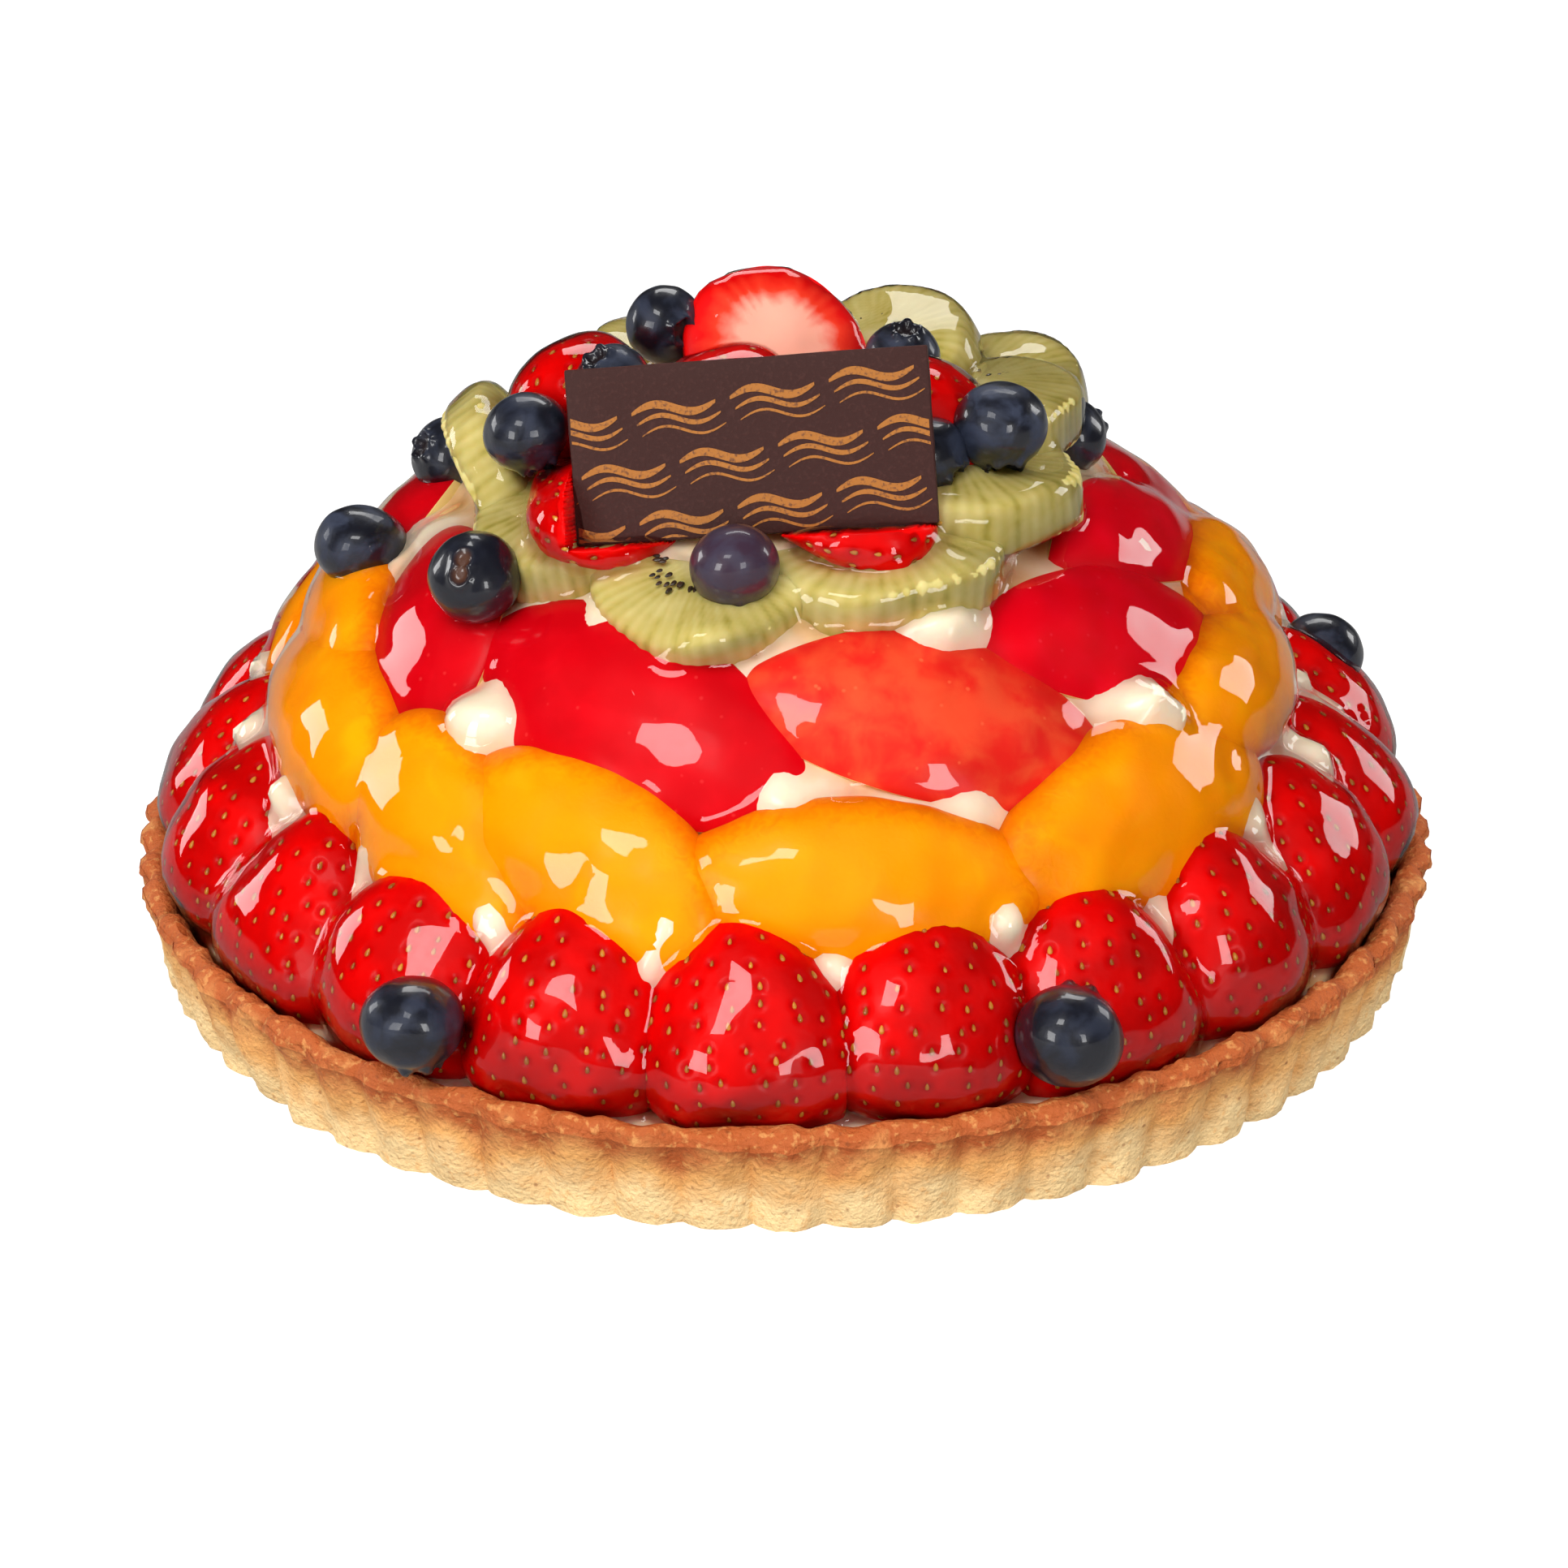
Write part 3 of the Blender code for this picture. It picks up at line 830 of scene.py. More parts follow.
@dataclass
class PastryShell(Part):
    """The fluted case. Its ribs are round, and its rim is broken and crumbly."""

    flutes: int = 62
    columns: int = 12
    depth: float = 2.1 * MM
    wall: float = 5.4 * MM
    floor: float = 5 * MM
    rows: int = 16
    foot: float = 0.967
    crest: float = 2.6 * MM
    finish: BakedPastry = BakedPastry()

    def build(self, node: Piece) -> Piece:
        """Extrudes the wall up, over the rim and down inside, then ribs and roughens it.

        Args:
            node: The frame's crust.

        Returns:
            The shell.
        """
        _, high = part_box(node.name)
        rim, height = high.x, high.z
        base = rim * self.foot
        rest()
        count = self.flutes * self.columns
        bpy.ops.mesh.primitive_circle_add(vertices=count, radius=base, fill_type="NGON")
        shell = named("pastry_shell")
        pick(shell)
        bpy.ops.object.mode_set(mode="EDIT")
        bpy.ops.mesh.select_all(action="SELECT")
        outline = [(rim + (base - rim) * (1 - i / self.rows), height * i / self.rows) for i in range(1, self.rows)]
        inside = rim - self.wall
        for i in range(7):
            turn = math.pi * i / 6
            middle = (rim + inside) / 2
            outline.append((middle + (rim - middle) * math.cos(turn), height - self.crest + self.crest * math.sin(turn)))
        outline += [(inside - 0.8 * MM, height - 5 * MM), (inside - 1.6 * MM, height - 9 * MM)]
        outline.append((inside - 2.5 * MM, self.floor))
        radius, level = base, 0.0
        for reach, up in outline:
            bpy.ops.mesh.extrude_region_move(TRANSFORM_OT_translate={"value": (0, 0, up - level)})
            share = reach / radius
            bpy.ops.transform.resize(value=(share, share, 1))
            radius, level = reach, up
        bpy.ops.object.mode_set(mode="OBJECT")
        self.weather(shell, rim, height)
        return shell

    def weather(self, shell: Piece, rim: float, height: float) -> None:
        """Presses the flutes into the wall, and wears the rim uneven."""
        points = points_of(shell)
        reach = np.linalg.norm(points[:, :2], axis=1)
        angle = np.arctan2(points[:, 1], points[:, 0])
        wander = lumps(points * (1, 1, 0.3), 16 * MM, 5) * 0.12
        rib = np.abs(np.sin(angle * self.flutes / 2 + wander))
        skin = rim * (self.foot + (1 - self.foot) * points[:, 2] / height)
        outer = step_between(reach - skin, -self.wall * 0.75, -0.6 * MM)
        fade = 1 - 0.3 * step_between(points[:, 2], height * 0.7, height)
        crease = (1 - rib**0.75) * outer
        away = np.column_stack((points[:, :2] / np.maximum(reach, MM)[:, None], np.zeros(len(points))))
        points -= away * (self.depth * crease * fade)[:, None]
        top = step_between(points[:, 2], height * 0.6, height)
        worn = 0.6 * lumps(points, 5 * MM, 6) + 0.4 * lumps(points, 2.2 * MM, 7) - 0.7 * crease
        points[:, 2] += top * worn * 0.95 * MM
        rough = lumps(points, 2.4 * MM, 8) * 0.25 + lumps(points, 7 * MM, 9) * 0.45
        rough += lumps(points, 1.1 * MM, 10) * 0.16
        points += away * (rough * MM)[:, None]
        points[:, 2] = np.maximum(points[:, 2], 0)
        set_points(shell, points)
        # the grooves between the ribs, where the pastry's finish paints shade
        keep_layer(shell, "crease", crease)

    def make(self, frame: Mapping[str, Piece]) -> Piece:
        """Builds and dresses the shell."""
        return self.settle(self.build(frame["crust"]), self.finish.material(), "pastry", ["crust"], 60)


@dataclass(frozen=True)
class Dollop:
    """Cream that is pushed up between slices, by azimuth, height, width and rise in millimetres."""

    azimuth: float
    height: float
    width: float
    rise: float


@dataclass
class CreamDome(Part):
    """The cream under and between the fruit, spread in strokes and pressed up in lumps."""

    dome: Dome
    sides: int = 300
    rings: int = 120
    bed: float = 16.5 * MM
    lift: float = 1.2 * MM
    berries: int = 21
    first_berry: float = -89.5
    ridge: float = 6 * MM
    dollops: tuple[Dollop, ...] = (
        Dollop(-40, 65, 8, 6),
        Dollop(-24, 81, 10, 3.5),
        Dollop(0, 62, 8, 3.5),
        Dollop(22, 58, 9, 3),
        Dollop(49, 62, 9, 6),
        Dollop(25, 80, 10, 4.5),
        Dollop(70, 78, 9, 3),
        Dollop(-78, 75, 9, 3),
        Dollop(112, 70, 9, 4),
        Dollop(150, 66, 10, 4),
        Dollop(190, 68, 10, 5),
        Dollop(232, 70, 9, 4),
    )
    finish: WhippedCream = WhippedCream()

    def build(self, node: Piece) -> Piece:
        """Shapes a disc into the bed and the dome, then works the surface.

        Args:
            node: The frame's cream.

        Returns:
            The cream.
        """
        low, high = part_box(node.name)
        rest()
        bpy.ops.mesh.primitive_circle_add(vertices=self.sides, radius=1, fill_type="NGON")
        cream = named("cream_dome")
        pick(cream)
        bpy.ops.object.mode_set(mode="EDIT")
        bpy.ops.mesh.select_all(action="SELECT")
        for ring in range(1, self.rings):
            bpy.ops.mesh.extrude_region_move(TRANSFORM_OT_translate={"value": (0, 0, 1)})
        bpy.ops.object.mode_set(mode="OBJECT")
        points = points_of(cream)
        share = points[:, 2] / (self.rings - 1)
        foot = self.bed + 1.5 * MM
        climb = np.clip((share - 0.12) / 0.88, 0, 1)
        start = math.asin(foot / self.dome.height)
        height = self.dome.height * np.sin(start + (math.pi / 2 - start) * climb)
        radius = self.dome.radius_at(height)
        bed_share = np.clip(share / 0.12, 0, 1)
        edge = high.x + (self.dome.radius_at(np.array(foot)) - high.x) * np.clip(bed_share * 2 - 1, 0, 1)
        in_bed = share < 0.12
        radius = np.where(in_bed, edge, radius)
        low_z = low.z + (self.bed - low.z) * np.clip(bed_share * 2, 0, 1)
        height = np.where(in_bed, low_z, height)
        points = np.column_stack((points[:, 0] * radius, points[:, 1] * radius, height))
        self.work(cream, points)
        return cream

    def work(self, cream: Piece, points: Array) -> None:
        """Adds strokes and lumps to the dome."""
        normal = self.dome.normal_at(points)
        strokes = lumps(points * (1, 1, 2.2), 14 * MM, 21)
        blobs = lumps(points, 7 * MM, 22)
        folds = 1 - np.abs(lumps(points, 9 * MM, 23)) * 1.6
        rise = 0.5 * strokes + 0.4 * blobs + 0.35 * folds
        free = step_between(points[:, 2], self.bed, self.bed + 8 * MM)
        pushed = self.pushed_up(points)
        points = points + normal * ((self.lift + rise * 1.3 * MM + pushed) * free)[:, None]
        set_points(cream, points)
        keep_layer(cream, "lump", 0.46 + 0.4 * rise + pushed / (9 * MM))

    def pushed_up(self, points: Array) -> Array:
        """How far the fruit has pushed the cream up: ridges between the rim's berries, and dollops."""
        azimuth = np.degrees(np.arctan2(points[:, 0], -points[:, 1]))
        share = (azimuth - self.first_berry) / (360 / self.berries)
        off = np.abs(share - np.floor(share) - 0.5)
        band = step_between(points[:, 2], 20 * MM, 28 * MM) * (1 - step_between(points[:, 2], 40 * MM, 52 * MM))
        total = self.ridge * np.exp(-((off / 0.2) ** 2)) * band
        torn = 1 + 0.3 * lumps(points, 5 * MM, 24) + 0.1 * lumps(points, 2.2 * MM, 25)
        for dollop in self.dollops:
            peak, _ = self.dome.on(dollop.azimuth, dollop.height * MM)
            gap = np.linalg.norm(points - peak, axis=1) / (dollop.width * MM)
            total += dollop.rise * MM * np.exp(-(gap**2) * 1.4)
        return total * torn

    def make(self, frame: Mapping[str, Piece]) -> Piece:
        """Builds and dresses the cream."""
        return self.settle(self.build(frame["cream"]), self.finish.material(), "cream", ["cream"])


@dataclass
class Berry:
    """A strawberry's form: its tip at +Y, its front at +Z, with seeds in dimples."""

    width: float
    length: float
    thickness: float
    back: float
    seed: int
    taper: float = 0.35
    spacing: float = 5.2 * MM
    level: int = 6

    def form(self, rounds: Array) -> Array:
        """Turns points of a unit ball into the berry's."""
        x, y, z = rounds.T
        share = 1 - self.taper * y - 0.06 * y**3
        depth = np.where(z > 0, z * self.thickness, z * self.back) * share
        return np.column_stack((x * share * self.width / 2 * 1.06, y * self.length / 2, depth))

    def seed_spots(self) -> Array:
        """Where the seeds sit, as points of a unit ball, in staggered rows from the stem to the tip."""
        chance = np.random.default_rng(self.seed + 500)
        spots = []
        rows = max(int(self.length * 1.25 / (self.spacing * 0.85)), 3)
        for row in range(rows + 1):
            y = -0.86 + 1.82 * row / rows
            girth = math.sqrt(max(1 - y * y, 0.02)) * (1 - self.taper * y)
            around = math.pi * girth * (self.width / 2 + self.thickness) / 2 * (2 if self.back > MM else 1)
            count = max(int(round(around / self.spacing)), 1)
            sweep = 2 * math.pi if self.back > MM else math.pi
            for i in range(count):
                angle = sweep * (i + 0.5 * (row % 2) + 0.3) / count + chance.normal(0, 0.05)
                level = y + chance.normal(0, 0.018)
                flat = math.sqrt(max(1 - level * level, 0))
                spots.append((flat * math.cos(angle), level, flat * math.sin(angle)))
        return np.array(spots)

    def build(self, name: str, place: Place) -> tuple[Piece, Array, Array]:
        """Shapes the berry at its place, makes it a little uneven, and finds where its seeds go.

        Args:
            name: The piece's name.
            place: Where it sits.

        Returns:
            The berry, its seeds' points, and the berry's outward directions there.
        """
        berry = ball(name, self.level)
        rounds = points_of(berry)
        local = self.form(rounds)
        set_points(berry, place.put(local))
        uneven = lumps(local, 13 * MM, self.seed) * 0.7 * MM + lumps(local, 6 * MM, self.seed + 1) * 0.22 * MM
        swell(berry, uneven)
        return berry, self.seed_spots(), rounds

    def dimple(self, berry: Piece, spots: Array, rounds: Array) -> tuple[Array, Array]:
        """Presses the dimples in.

        Args:
            berry: The berry.
            spots: The seeds' places on the unit ball.
            rounds: The berry's points on the unit ball.

        Returns:
            The seeds' points and outward directions.
        """
        nearest = np.argmax(rounds @ spots.T, axis=0)
        points, normal = points_of(berry), normals_of(berry)
        seats, ways = points[nearest], normal[nearest]
        gap = np.linalg.norm(points[:, None] - seats[None], axis=2).min(axis=1)
        pit = np.clip(1 - (gap / (1.45 * MM)) ** 2, 0, 1) ** 2
        lip = np.exp(-(((gap - 1.6 * MM) / (0.6 * MM)) ** 2))
        swell(berry, -0.42 * MM * pit + 0.05 * MM * lip)
        # the pits' depth, also read by the skin to paint shade in the dimples
        keep_layer(berry, "dimple", pit)
        return seats - ways * 0.28 * MM, ways


@dataclass
class SeedPot(Part):
    """Collects the seeds of all berries, and makes them as one piece."""

    name: str
    slot: str
    finish: SeedCoat
    size: tuple[float, float, float] = (0.4 * MM, 0.72 * MM, 0.28 * MM)
    seats: list[Place] = field(default_factory=list)

    def sow(self, spots: Array, ways: Array, along: Array) -> None:
        """Adds seeds at points, facing out and lying along a direction."""
        for spot, way in zip(spots, ways):
            self.seats.append(Place.facing(spot, along, way))

    def make(self) -> Piece:
        """Copies one seed to every seat, and joins them."""
        pip = ball(self.name, 2)
        form = points_of(pip)
        form[:, 0] *= 1 - 0.4 * form[:, 1]
        form *= self.size
        seeds = [pip] + copies([pip] * (len(self.seats) - 1))
        for seed, seat in zip(seeds, self.seats):
            chance = np.random.default_rng(int(abs(seat.centre[0]) * 1e7) % 9973)
            across = Place(seat.centre, seat.across, seat.along, seat.out)
            set_points(seed, across.put(form * chance.uniform(0.8, 1.15)))
        pot = join(seeds, self.name)
        with editing(pot):
            bpy.ops.mesh.normals_make_consistent(inside=False)
        return self.settle(pot, self.finish.material(), self.slot, [])


@dataclass
class StrawberryRing(Part):
    """The halved strawberries that stand round the rim, cut face in and tip up."""

    dome: Dome
    pot: SeedPot
    count: int = 21
    front: int = 11
    width: float = 36 * MM
    length: float = 39 * MM
    thickness: float = 15.5 * MM
    bed: float = 13 * MM
    inner_base: float = 110.3 * MM
    wall_slope: float = 0.2
    rim: float = 20 * MM
    finish: StrawberrySkin = StrawberrySkin()

    def press(self, points: Array, azimuth: float) -> Array:
        """Keeps a berry above the bed, inside the wall and, softly, in its share of the rim."""
        points = points.copy()
        points[:, 2] = np.maximum(points[:, 2], self.bed)
        reach = np.linalg.norm(points[:, :2], axis=1)
        room = self.inner_base + self.wall_slope * points[:, 2]
        over = np.clip(reach - room, 0, None) * (1 - step_between(points[:, 2], self.rim, self.rim + 5 * MM))
        points[:, :2] *= ((reach - over) / reach)[:, None]
        away = outward(azimuth)
        side = np.cross((0, 0, 1), away)
        depth, across = points @ away, points @ side
        share = depth * math.tan(math.pi / self.count) + 0.4 * MM
        beyond = np.clip(np.abs(across) - share, 0, None)
        return points - side * (np.sign(across) * beyond * 0.75)[:, None]

    def berry(self, index: int, nodes: Sequence[str], material: bpy.types.Material) -> Piece:
        """Builds one berry of the ring.

        Args:
            index: Its number round the ring.
            nodes: The nodes it stands for.
            material: Its finish.

        Returns:
            The berry.
        """
        azimuth = -89.5 + index * 360 / self.count
        height = 29 * MM + 0.7 * MM * math.sin(index * 2.4)
        point, normal = self.dome.on(azimuth, height)
        across = np.cross((0, 0, 1), outward(azimuth))
        turn = math.radians(5 * math.sin(index * 1.7))
        across = across * math.cos(turn) + np.cross(normal, across) * math.sin(turn)
        size = 1 + 0.05 * math.sin(index * 3.1)
        form = Berry(self.width * size, self.length, self.thickness, 0.3 * MM, seed=index * 7 + 1)
        place = Place.facing(point + normal * 0.9 * MM, across, normal)
        piece, spots, rounds = form.build(f"rim_strawberry_{index + 1}", place)
        set_points(piece, self.press(points_of(piece), azimuth))
        seats, ways = form.dimple(piece, spots, rounds)
        self.pot.sow(seats, ways, place.across)
        return self.settle(piece, material, "strawberry", nodes)

    def make(self) -> list[Piece]:
        """Builds the ring."""
        material = self.finish.material()
        made = []
        for index in range(self.count):
            node = f"strawberry_{index + 1}" if index < self.front else "strawberries_back"
            made.append(self.berry(index, [node], material))
        return made


@dataclass
class LaidSlices(Part):
    """Slices laid on the cream, long and pointed, each shaped to the node it stands for."""

    dome: Dome
    kind: str
    crown: float
    edge: float
    depth: float
    roundness: float
    point: float
    stretch: tuple[float, float]
    uneven: float

    def place_of(self, node: Piece) -> tuple[Place, float, float]:
        """Finds where a node's slice lies.

        Args:
            node: The frame's slice.

        Returns:
            Its place on the dome, half its length and half its width.
        """
        hold = Hold.of(node)
        foot = self.dome.foot_of(hold.centre[None])[0]
        place = Place.facing(foot, hold.axes[0], self.dome.normal_at(foot[None])[0])
        shell = hold.points[(hold.points - self.dome.foot_of(hold.points)) @ place.out > -2 * MM]
        along, across = shell @ place.along, shell @ place.across
        middle = foot + place.along * ((along.min() + along.max()) / 2 - foot @ place.along)
        middle += place.across * ((across.min() + across.max()) / 2 - foot @ place.across)
        foot = self.dome.foot_of(middle[None])[0]
        place = Place.facing(foot, place.along, self.dome.normal_at(foot[None])[0])
        return place, float(np.ptp(along)) / 2, float(np.ptp(across)) / 2

    def between(self, start: tuple[float, float], end: tuple[float, float]) -> tuple[Place, float]:
        """Finds the place between two ends, each an azimuth and a height.

        Args:
            start: Where the slice starts.
            end: Where it ends.

        Returns:
            Its place on the dome and half its length.
        """
        ends = [self.dome.on(azimuth, height)[0] for azimuth, height in (start, end)]
        foot, normal = self.dome.on((start[0] + end[0]) / 2, (start[1] + end[1]) / 2)
        return Place.facing(foot, ends[1] - ends[0], normal), float(np.linalg.norm(ends[1] - ends[0])) / 2

    def shape(self, name: str, place: Place, length: float, width: float, seed: int) -> Piece:
        """Shapes a ball into a slice that hugs the dome.

        Args:
            name: The piece's name.
            place: Where it lies.
            length: Half its length.
            width: Half its width.
            seed: Which lumps it has.

        Returns:
            The slice.
        """
        piece = ball(name, 6)
        x, y, z = points_of(piece).T
        flat = np.clip(1 - x * x, 0, 1)
        plan_y = y * flat ** (self.point - 0.5)
        sway = 0.05 * np.sin(x * 2.6 + seed)
        inner = np.clip(1 - x * x - y * y, 0, 1)
        length *= self.stretch[0]
        width *= self.stretch[1]
        top = self.edge * flat**0.35 + self.crown * inner**self.roundness
        under = self.edge * flat**0.35 - self.depth * inner**0.5
        level = place.put(np.column_stack((x * length, (plan_y + sway) * width, np.zeros(len(x)))))
        foot = self.dome.foot_of(level)
        lift = np.where(z >= 0, top, under)
        points = foot + self.dome.normal_at(foot) * lift[:, None]
        set_points(piece, points)
        rough = lumps(points, 11 * MM, seed) * 0.7 + lumps(points, 5 * MM, seed + 1) * 0.3
        swell(piece, rough * self.uneven * step_between(z, -0.3, 0.2))
        # how far out towards its edge a point lies; the peach paints shade by it, the apple its patches
        keep_layer(piece, "edge", np.sqrt(1 - inner))
        keep_layer(piece, "cut", step_between(-z, -0.06, 0.04))
        return piece


@dataclass
class PeachRing(LaidSlices):
    """The peach slices, plump and rounded, in a ring over the strawberries."""

    kind: str = "peach"
    crown: float = 8.0 * MM
    edge: float = 1.0 * MM
    depth: float = 9 * MM
    roundness: float = 0.45
    point: float = 0.66
    stretch: tuple[float, float] = (1.2, 1.12)
    uneven: float = 0.6 * MM
    front: int = 8
    back_span: tuple[float, float] = (97, 262)
    back_count: int = 5
    heights: tuple[float, float] = (57 * MM, 45 * MM)
    width: float = 13.5 * MM
    finish: PeachFlesh = PeachFlesh()

    def make(self, frame: Mapping[str, Piece]) -> list[Piece]:
        """Builds the front slices from their nodes, and the back ones in the same rhythm."""
        material = self.finish.material()
        made = []
        for i in range(self.front):
            place, length, width = self.place_of(frame[f"peach_{i + 1}"])
            piece = self.shape(f"peach_slice_{i + 1}", place, length, width, 40 + i * 3)
            made.append(self.settle(piece, material, "peach", [f"peach_{i + 1}"]))
        step = (self.back_span[1] - self.back_span[0]) / self.back_count
        for i in range(self.back_count):
            start = self.back_span[0] + i * step
            place, length = self.between((start - 3, self.heights[0]), (start + step + 5, self.heights[1]))
            number = self.front + i + 1
            piece = self.shape(f"peach_slice_{number}", place, length, self.width, 70 + i * 3)
            made.append(self.settle(piece, material, "peach", ["peaches_back"]))
        return made


@dataclass
class AppleRing(LaidSlices):
    """The apple slices: thin lenses of skin with a crisp cut edge."""

    kind: str = "apple"
    crown: float = 3.2 * MM
    edge: float = 2.6 * MM
    depth: float = 9 * MM
    roundness: float = 0.8
    point: float = 0.86
    stretch: tuple[float, float] = (1.12, 1.12)
    uneven: float = 0.28 * MM
    front: int = 6
    back_span: tuple[float, float] = (92, 243)
    back_count: int = 4
    heights: tuple[float, float] = (81 * MM, 60 * MM)
    width: float = 13.5 * MM
    blushes: tuple[Blush, ...] = (
        Blush.CRIMSON,
        Blush.CRIMSON,
        Blush.CRIMSON,
        Blush.MOTTLED,
        Blush.DEEP,
        Blush.DEEP,
        Blush.CRIMSON,
        Blush.MOTTLED,
        Blush.DEEP,
        Blush.CRIMSON,
    )

    def make(self, frame: Mapping[str, Piece]) -> list[Piece]:
        """Builds the front slices from their nodes, and the back ones in the same rhythm."""
        skins = {blush: AppleSkin(blush).material() for blush in Blush}
        made = []
        for i in range(self.front):
            place, length, width = self.place_of(frame[f"apple_{i + 1}"])
            piece = self.shape(f"apple_slice_{i + 1}", place, length, width, 90 + i * 3)
            made.append(self.settle(piece, skins[self.blushes[i]], "apple", [f"apple_{i + 1}"], 50))
        step = (self.back_span[1] - self.back_span[0]) / self.back_count
        for i in range(self.back_count):
            start = self.back_span[0] + i * step
            place, length = self.between((start - 1, self.heights[0]), (start + step + 6, self.heights[1]))
            number = self.front + i + 1
            piece = self.shape(f"apple_slice_{number}", place, length, self.width, 120 + i * 3)
            made.append(self.settle(piece, skins[self.blushes[number - 1]], "apple", ["apples_back"], 50))
        return made


@dataclass
class KiwiSlice:
    """A half-round slice with a ridged edge, as a form to be placed."""

    radius: float
    thickness: float
    seed: int
    ridges: int = 46

    def build(self, name: str, place: Place) -> Piece:
        """Halves a disc, rounds it, and works ridges into its edge and spokes into its faces.

        Args:
            name: The piece's name.
            place: Its place: the middle of its straight side, which runs along.

        Returns:
            The slice.
        """
        rest()
        bpy.ops.mesh.primitive_cylinder_add(vertices=120, radius=self.radius, depth=self.thickness)
        piece = named(name)
        with editing(piece):
            bpy.ops.mesh.bisect(plane_co=(0, 0, 0), plane_no=(0, 1, 0), use_fill=True, clear_inner=True)
        apply_modifier(piece, "REMESH", mode="VOXEL", voxel_size=0.62 * MM, adaptivity=0)
        apply_modifier(piece, "SMOOTH", factor=0.5, iterations=24)
        local = points_of(piece)
        angle = np.arctan2(local[:, 1], local[:, 0])
        share = np.hypot(local[:, 0], local[:, 1]) / self.radius
        wander = lumps(local, 9 * MM, self.seed) * 1.3
        spoke = np.sin(angle * self.ridges + wander) * 0.7 + np.sin(angle * self.ridges * 0.53 + self.seed) * 0.3
        rim = step_between(share, 0.72, 0.98)
        level = normals_of(piece)
        patchy = 0.6 + 0.4 * lumps(local, 10 * MM, self.seed + 1)
        swell(piece, spoke * patchy * (0.15 * rim + 0.07 * step_between(share, 0.25, 0.5)) * MM)
        local = points_of(piece)
        local[:, :2] *= 1 + 0.05 * lumps(local * (1, 1, 0.4), 15 * MM, self.seed + 2)[:, None]
        bow = lumps(local * (1, 1, 0), 18 * MM, self.seed + 3) * 1.6 * MM
        local[:, 2] += bow - 2.2 * MM * share**2
        set_points(piece, place.put(local))
        keep_layer(piece, "spoke", 0.5 + 0.4 * spoke)
        flat = step_between(np.abs(level[:, 2]), 0.4, 0.8)
        keep_layer(piece, "heart", flat * (1 - step_between(share, 0.12, 0.3)) * 0.8)
        return piece


@dataclass(frozen=True)
class Screen:
    """The plaque as a screen: fruit that leans on it stays behind it."""

    place: Place
    half: Array

    def keep_behind(self, points: Array) -> Array:
        """Presses points that would show through the plaque back behind it."""
        axes = np.stack((self.place.along, self.place.across, self.place.out))
        local = (points - self.place.centre) @ axes.T
        near = (np.abs(local[:, :2]) < self.half[:2] + 0.3 * MM).all(axis=1)
        local[near, 2] = np.minimum(local[near, 2], -self.half[2] - 0.6 * MM)
        return self.place.put(local)


@dataclass
class KiwiRing(Part):
    """The kiwi slices under the top pile, and the small dark seeds on them.

    Each slice behind has an azimuth, a height in millimetres and a lean."""

    pot: SeedPot
    screen: Screen
    front: int = 8
    thickness: float = 9.6 * MM
    behind: tuple[tuple[float, float, float], ...] = ((116, 93, 16), (150, 90, 4), (187, 92, 10), (225, 90, 6))
    behind_reach: float = 38 * MM
    behind_radius: float = 22 * MM
    finish: KiwiFlesh = KiwiFlesh()

    def place_of(self, node: Piece) -> tuple[Place, float]:
        """Finds where a node's half disc lies.

        Args:
            node: The frame's slice.

        Returns:
            Its place and its radius.
        """
        hold = Hold.of(node)
        long, middle, short = hold.axes
        away = outward(azimuth_of(hold.centre))
        out = short if short[2] > 0 else -short
        rounds = middle if middle @ away > 0 else -middle
        if abs(middle @ away) < 0.2 and abs(middle[2]) > 0.8:
            rounds = middle if middle[2] < 0 else -middle
        radius = float(hold.half[0])
        centre = hold.centre - rounds * radius * 0.5
        return Place(centre, np.cross(rounds, out), rounds, out), radius

    def seeds_of(self, place: Place, radius: float, seed: int) -> None:
        """Puts seeds on both faces, in an oval round the heart."""
        chance = np.random.default_rng(seed)
        for i in range(26):
            angle = math.pi * (0.06 + 0.88 * chance.uniform())
            reach = radius * chance.uniform(0.34, 0.5)
            side = self.thickness / 2 + 0.1 * MM - 1.6 * MM * (reach / radius) ** 2
            local = np.array((reach * math.cos(angle), reach * math.sin(angle), side))
            way = place.along * math.cos(angle) + place.across * math.sin(angle)
            self.pot.sow(place.put(local)[None], place.out[None], way)

    def make(self, frame: Mapping[str, Piece]) -> list[Piece]:
        """Builds the front slices from their nodes, and the four behind in a ring."""
        material = self.finish.material()
        made = []
        for i in range(self.front):
            place, radius = self.place_of(frame[f"kiwi_{i + 1}"])
            piece = KiwiSlice(radius * 1.02, self.thickness, 150 + i * 5).build(f"kiwi_slice_{i + 1}", place)
            set_points(piece, self.screen.keep_behind(points_of(piece)))
            self.seeds_of(place, radius, 160 + i)
            made.append(self.settle(piece, material, "kiwi", [f"kiwi_{i + 1}"]))
        for i, (azimuth, height, lean) in enumerate(self.behind):
            away, tilt = outward(azimuth), math.radians(lean)
            out = np.array((0, 0, math.cos(tilt))) - away * math.sin(tilt)
            rounds = away * math.cos(tilt) + np.array((0, 0, math.sin(tilt)))
            centre = away * self.behind_reach + (0, 0, height * MM)
            place = Place(centre, np.cross(rounds, out), rounds, out)
            number = self.front + i + 1
            piece = KiwiSlice(self.behind_radius, self.thickness, 190 + i * 5).build(f"kiwi_slice_{number}", place)
            self.seeds_of(place, 20.5 * MM, 180 + i)
            made.append(self.settle(piece, material, "kiwi", ["kiwis_back"]))
        return made


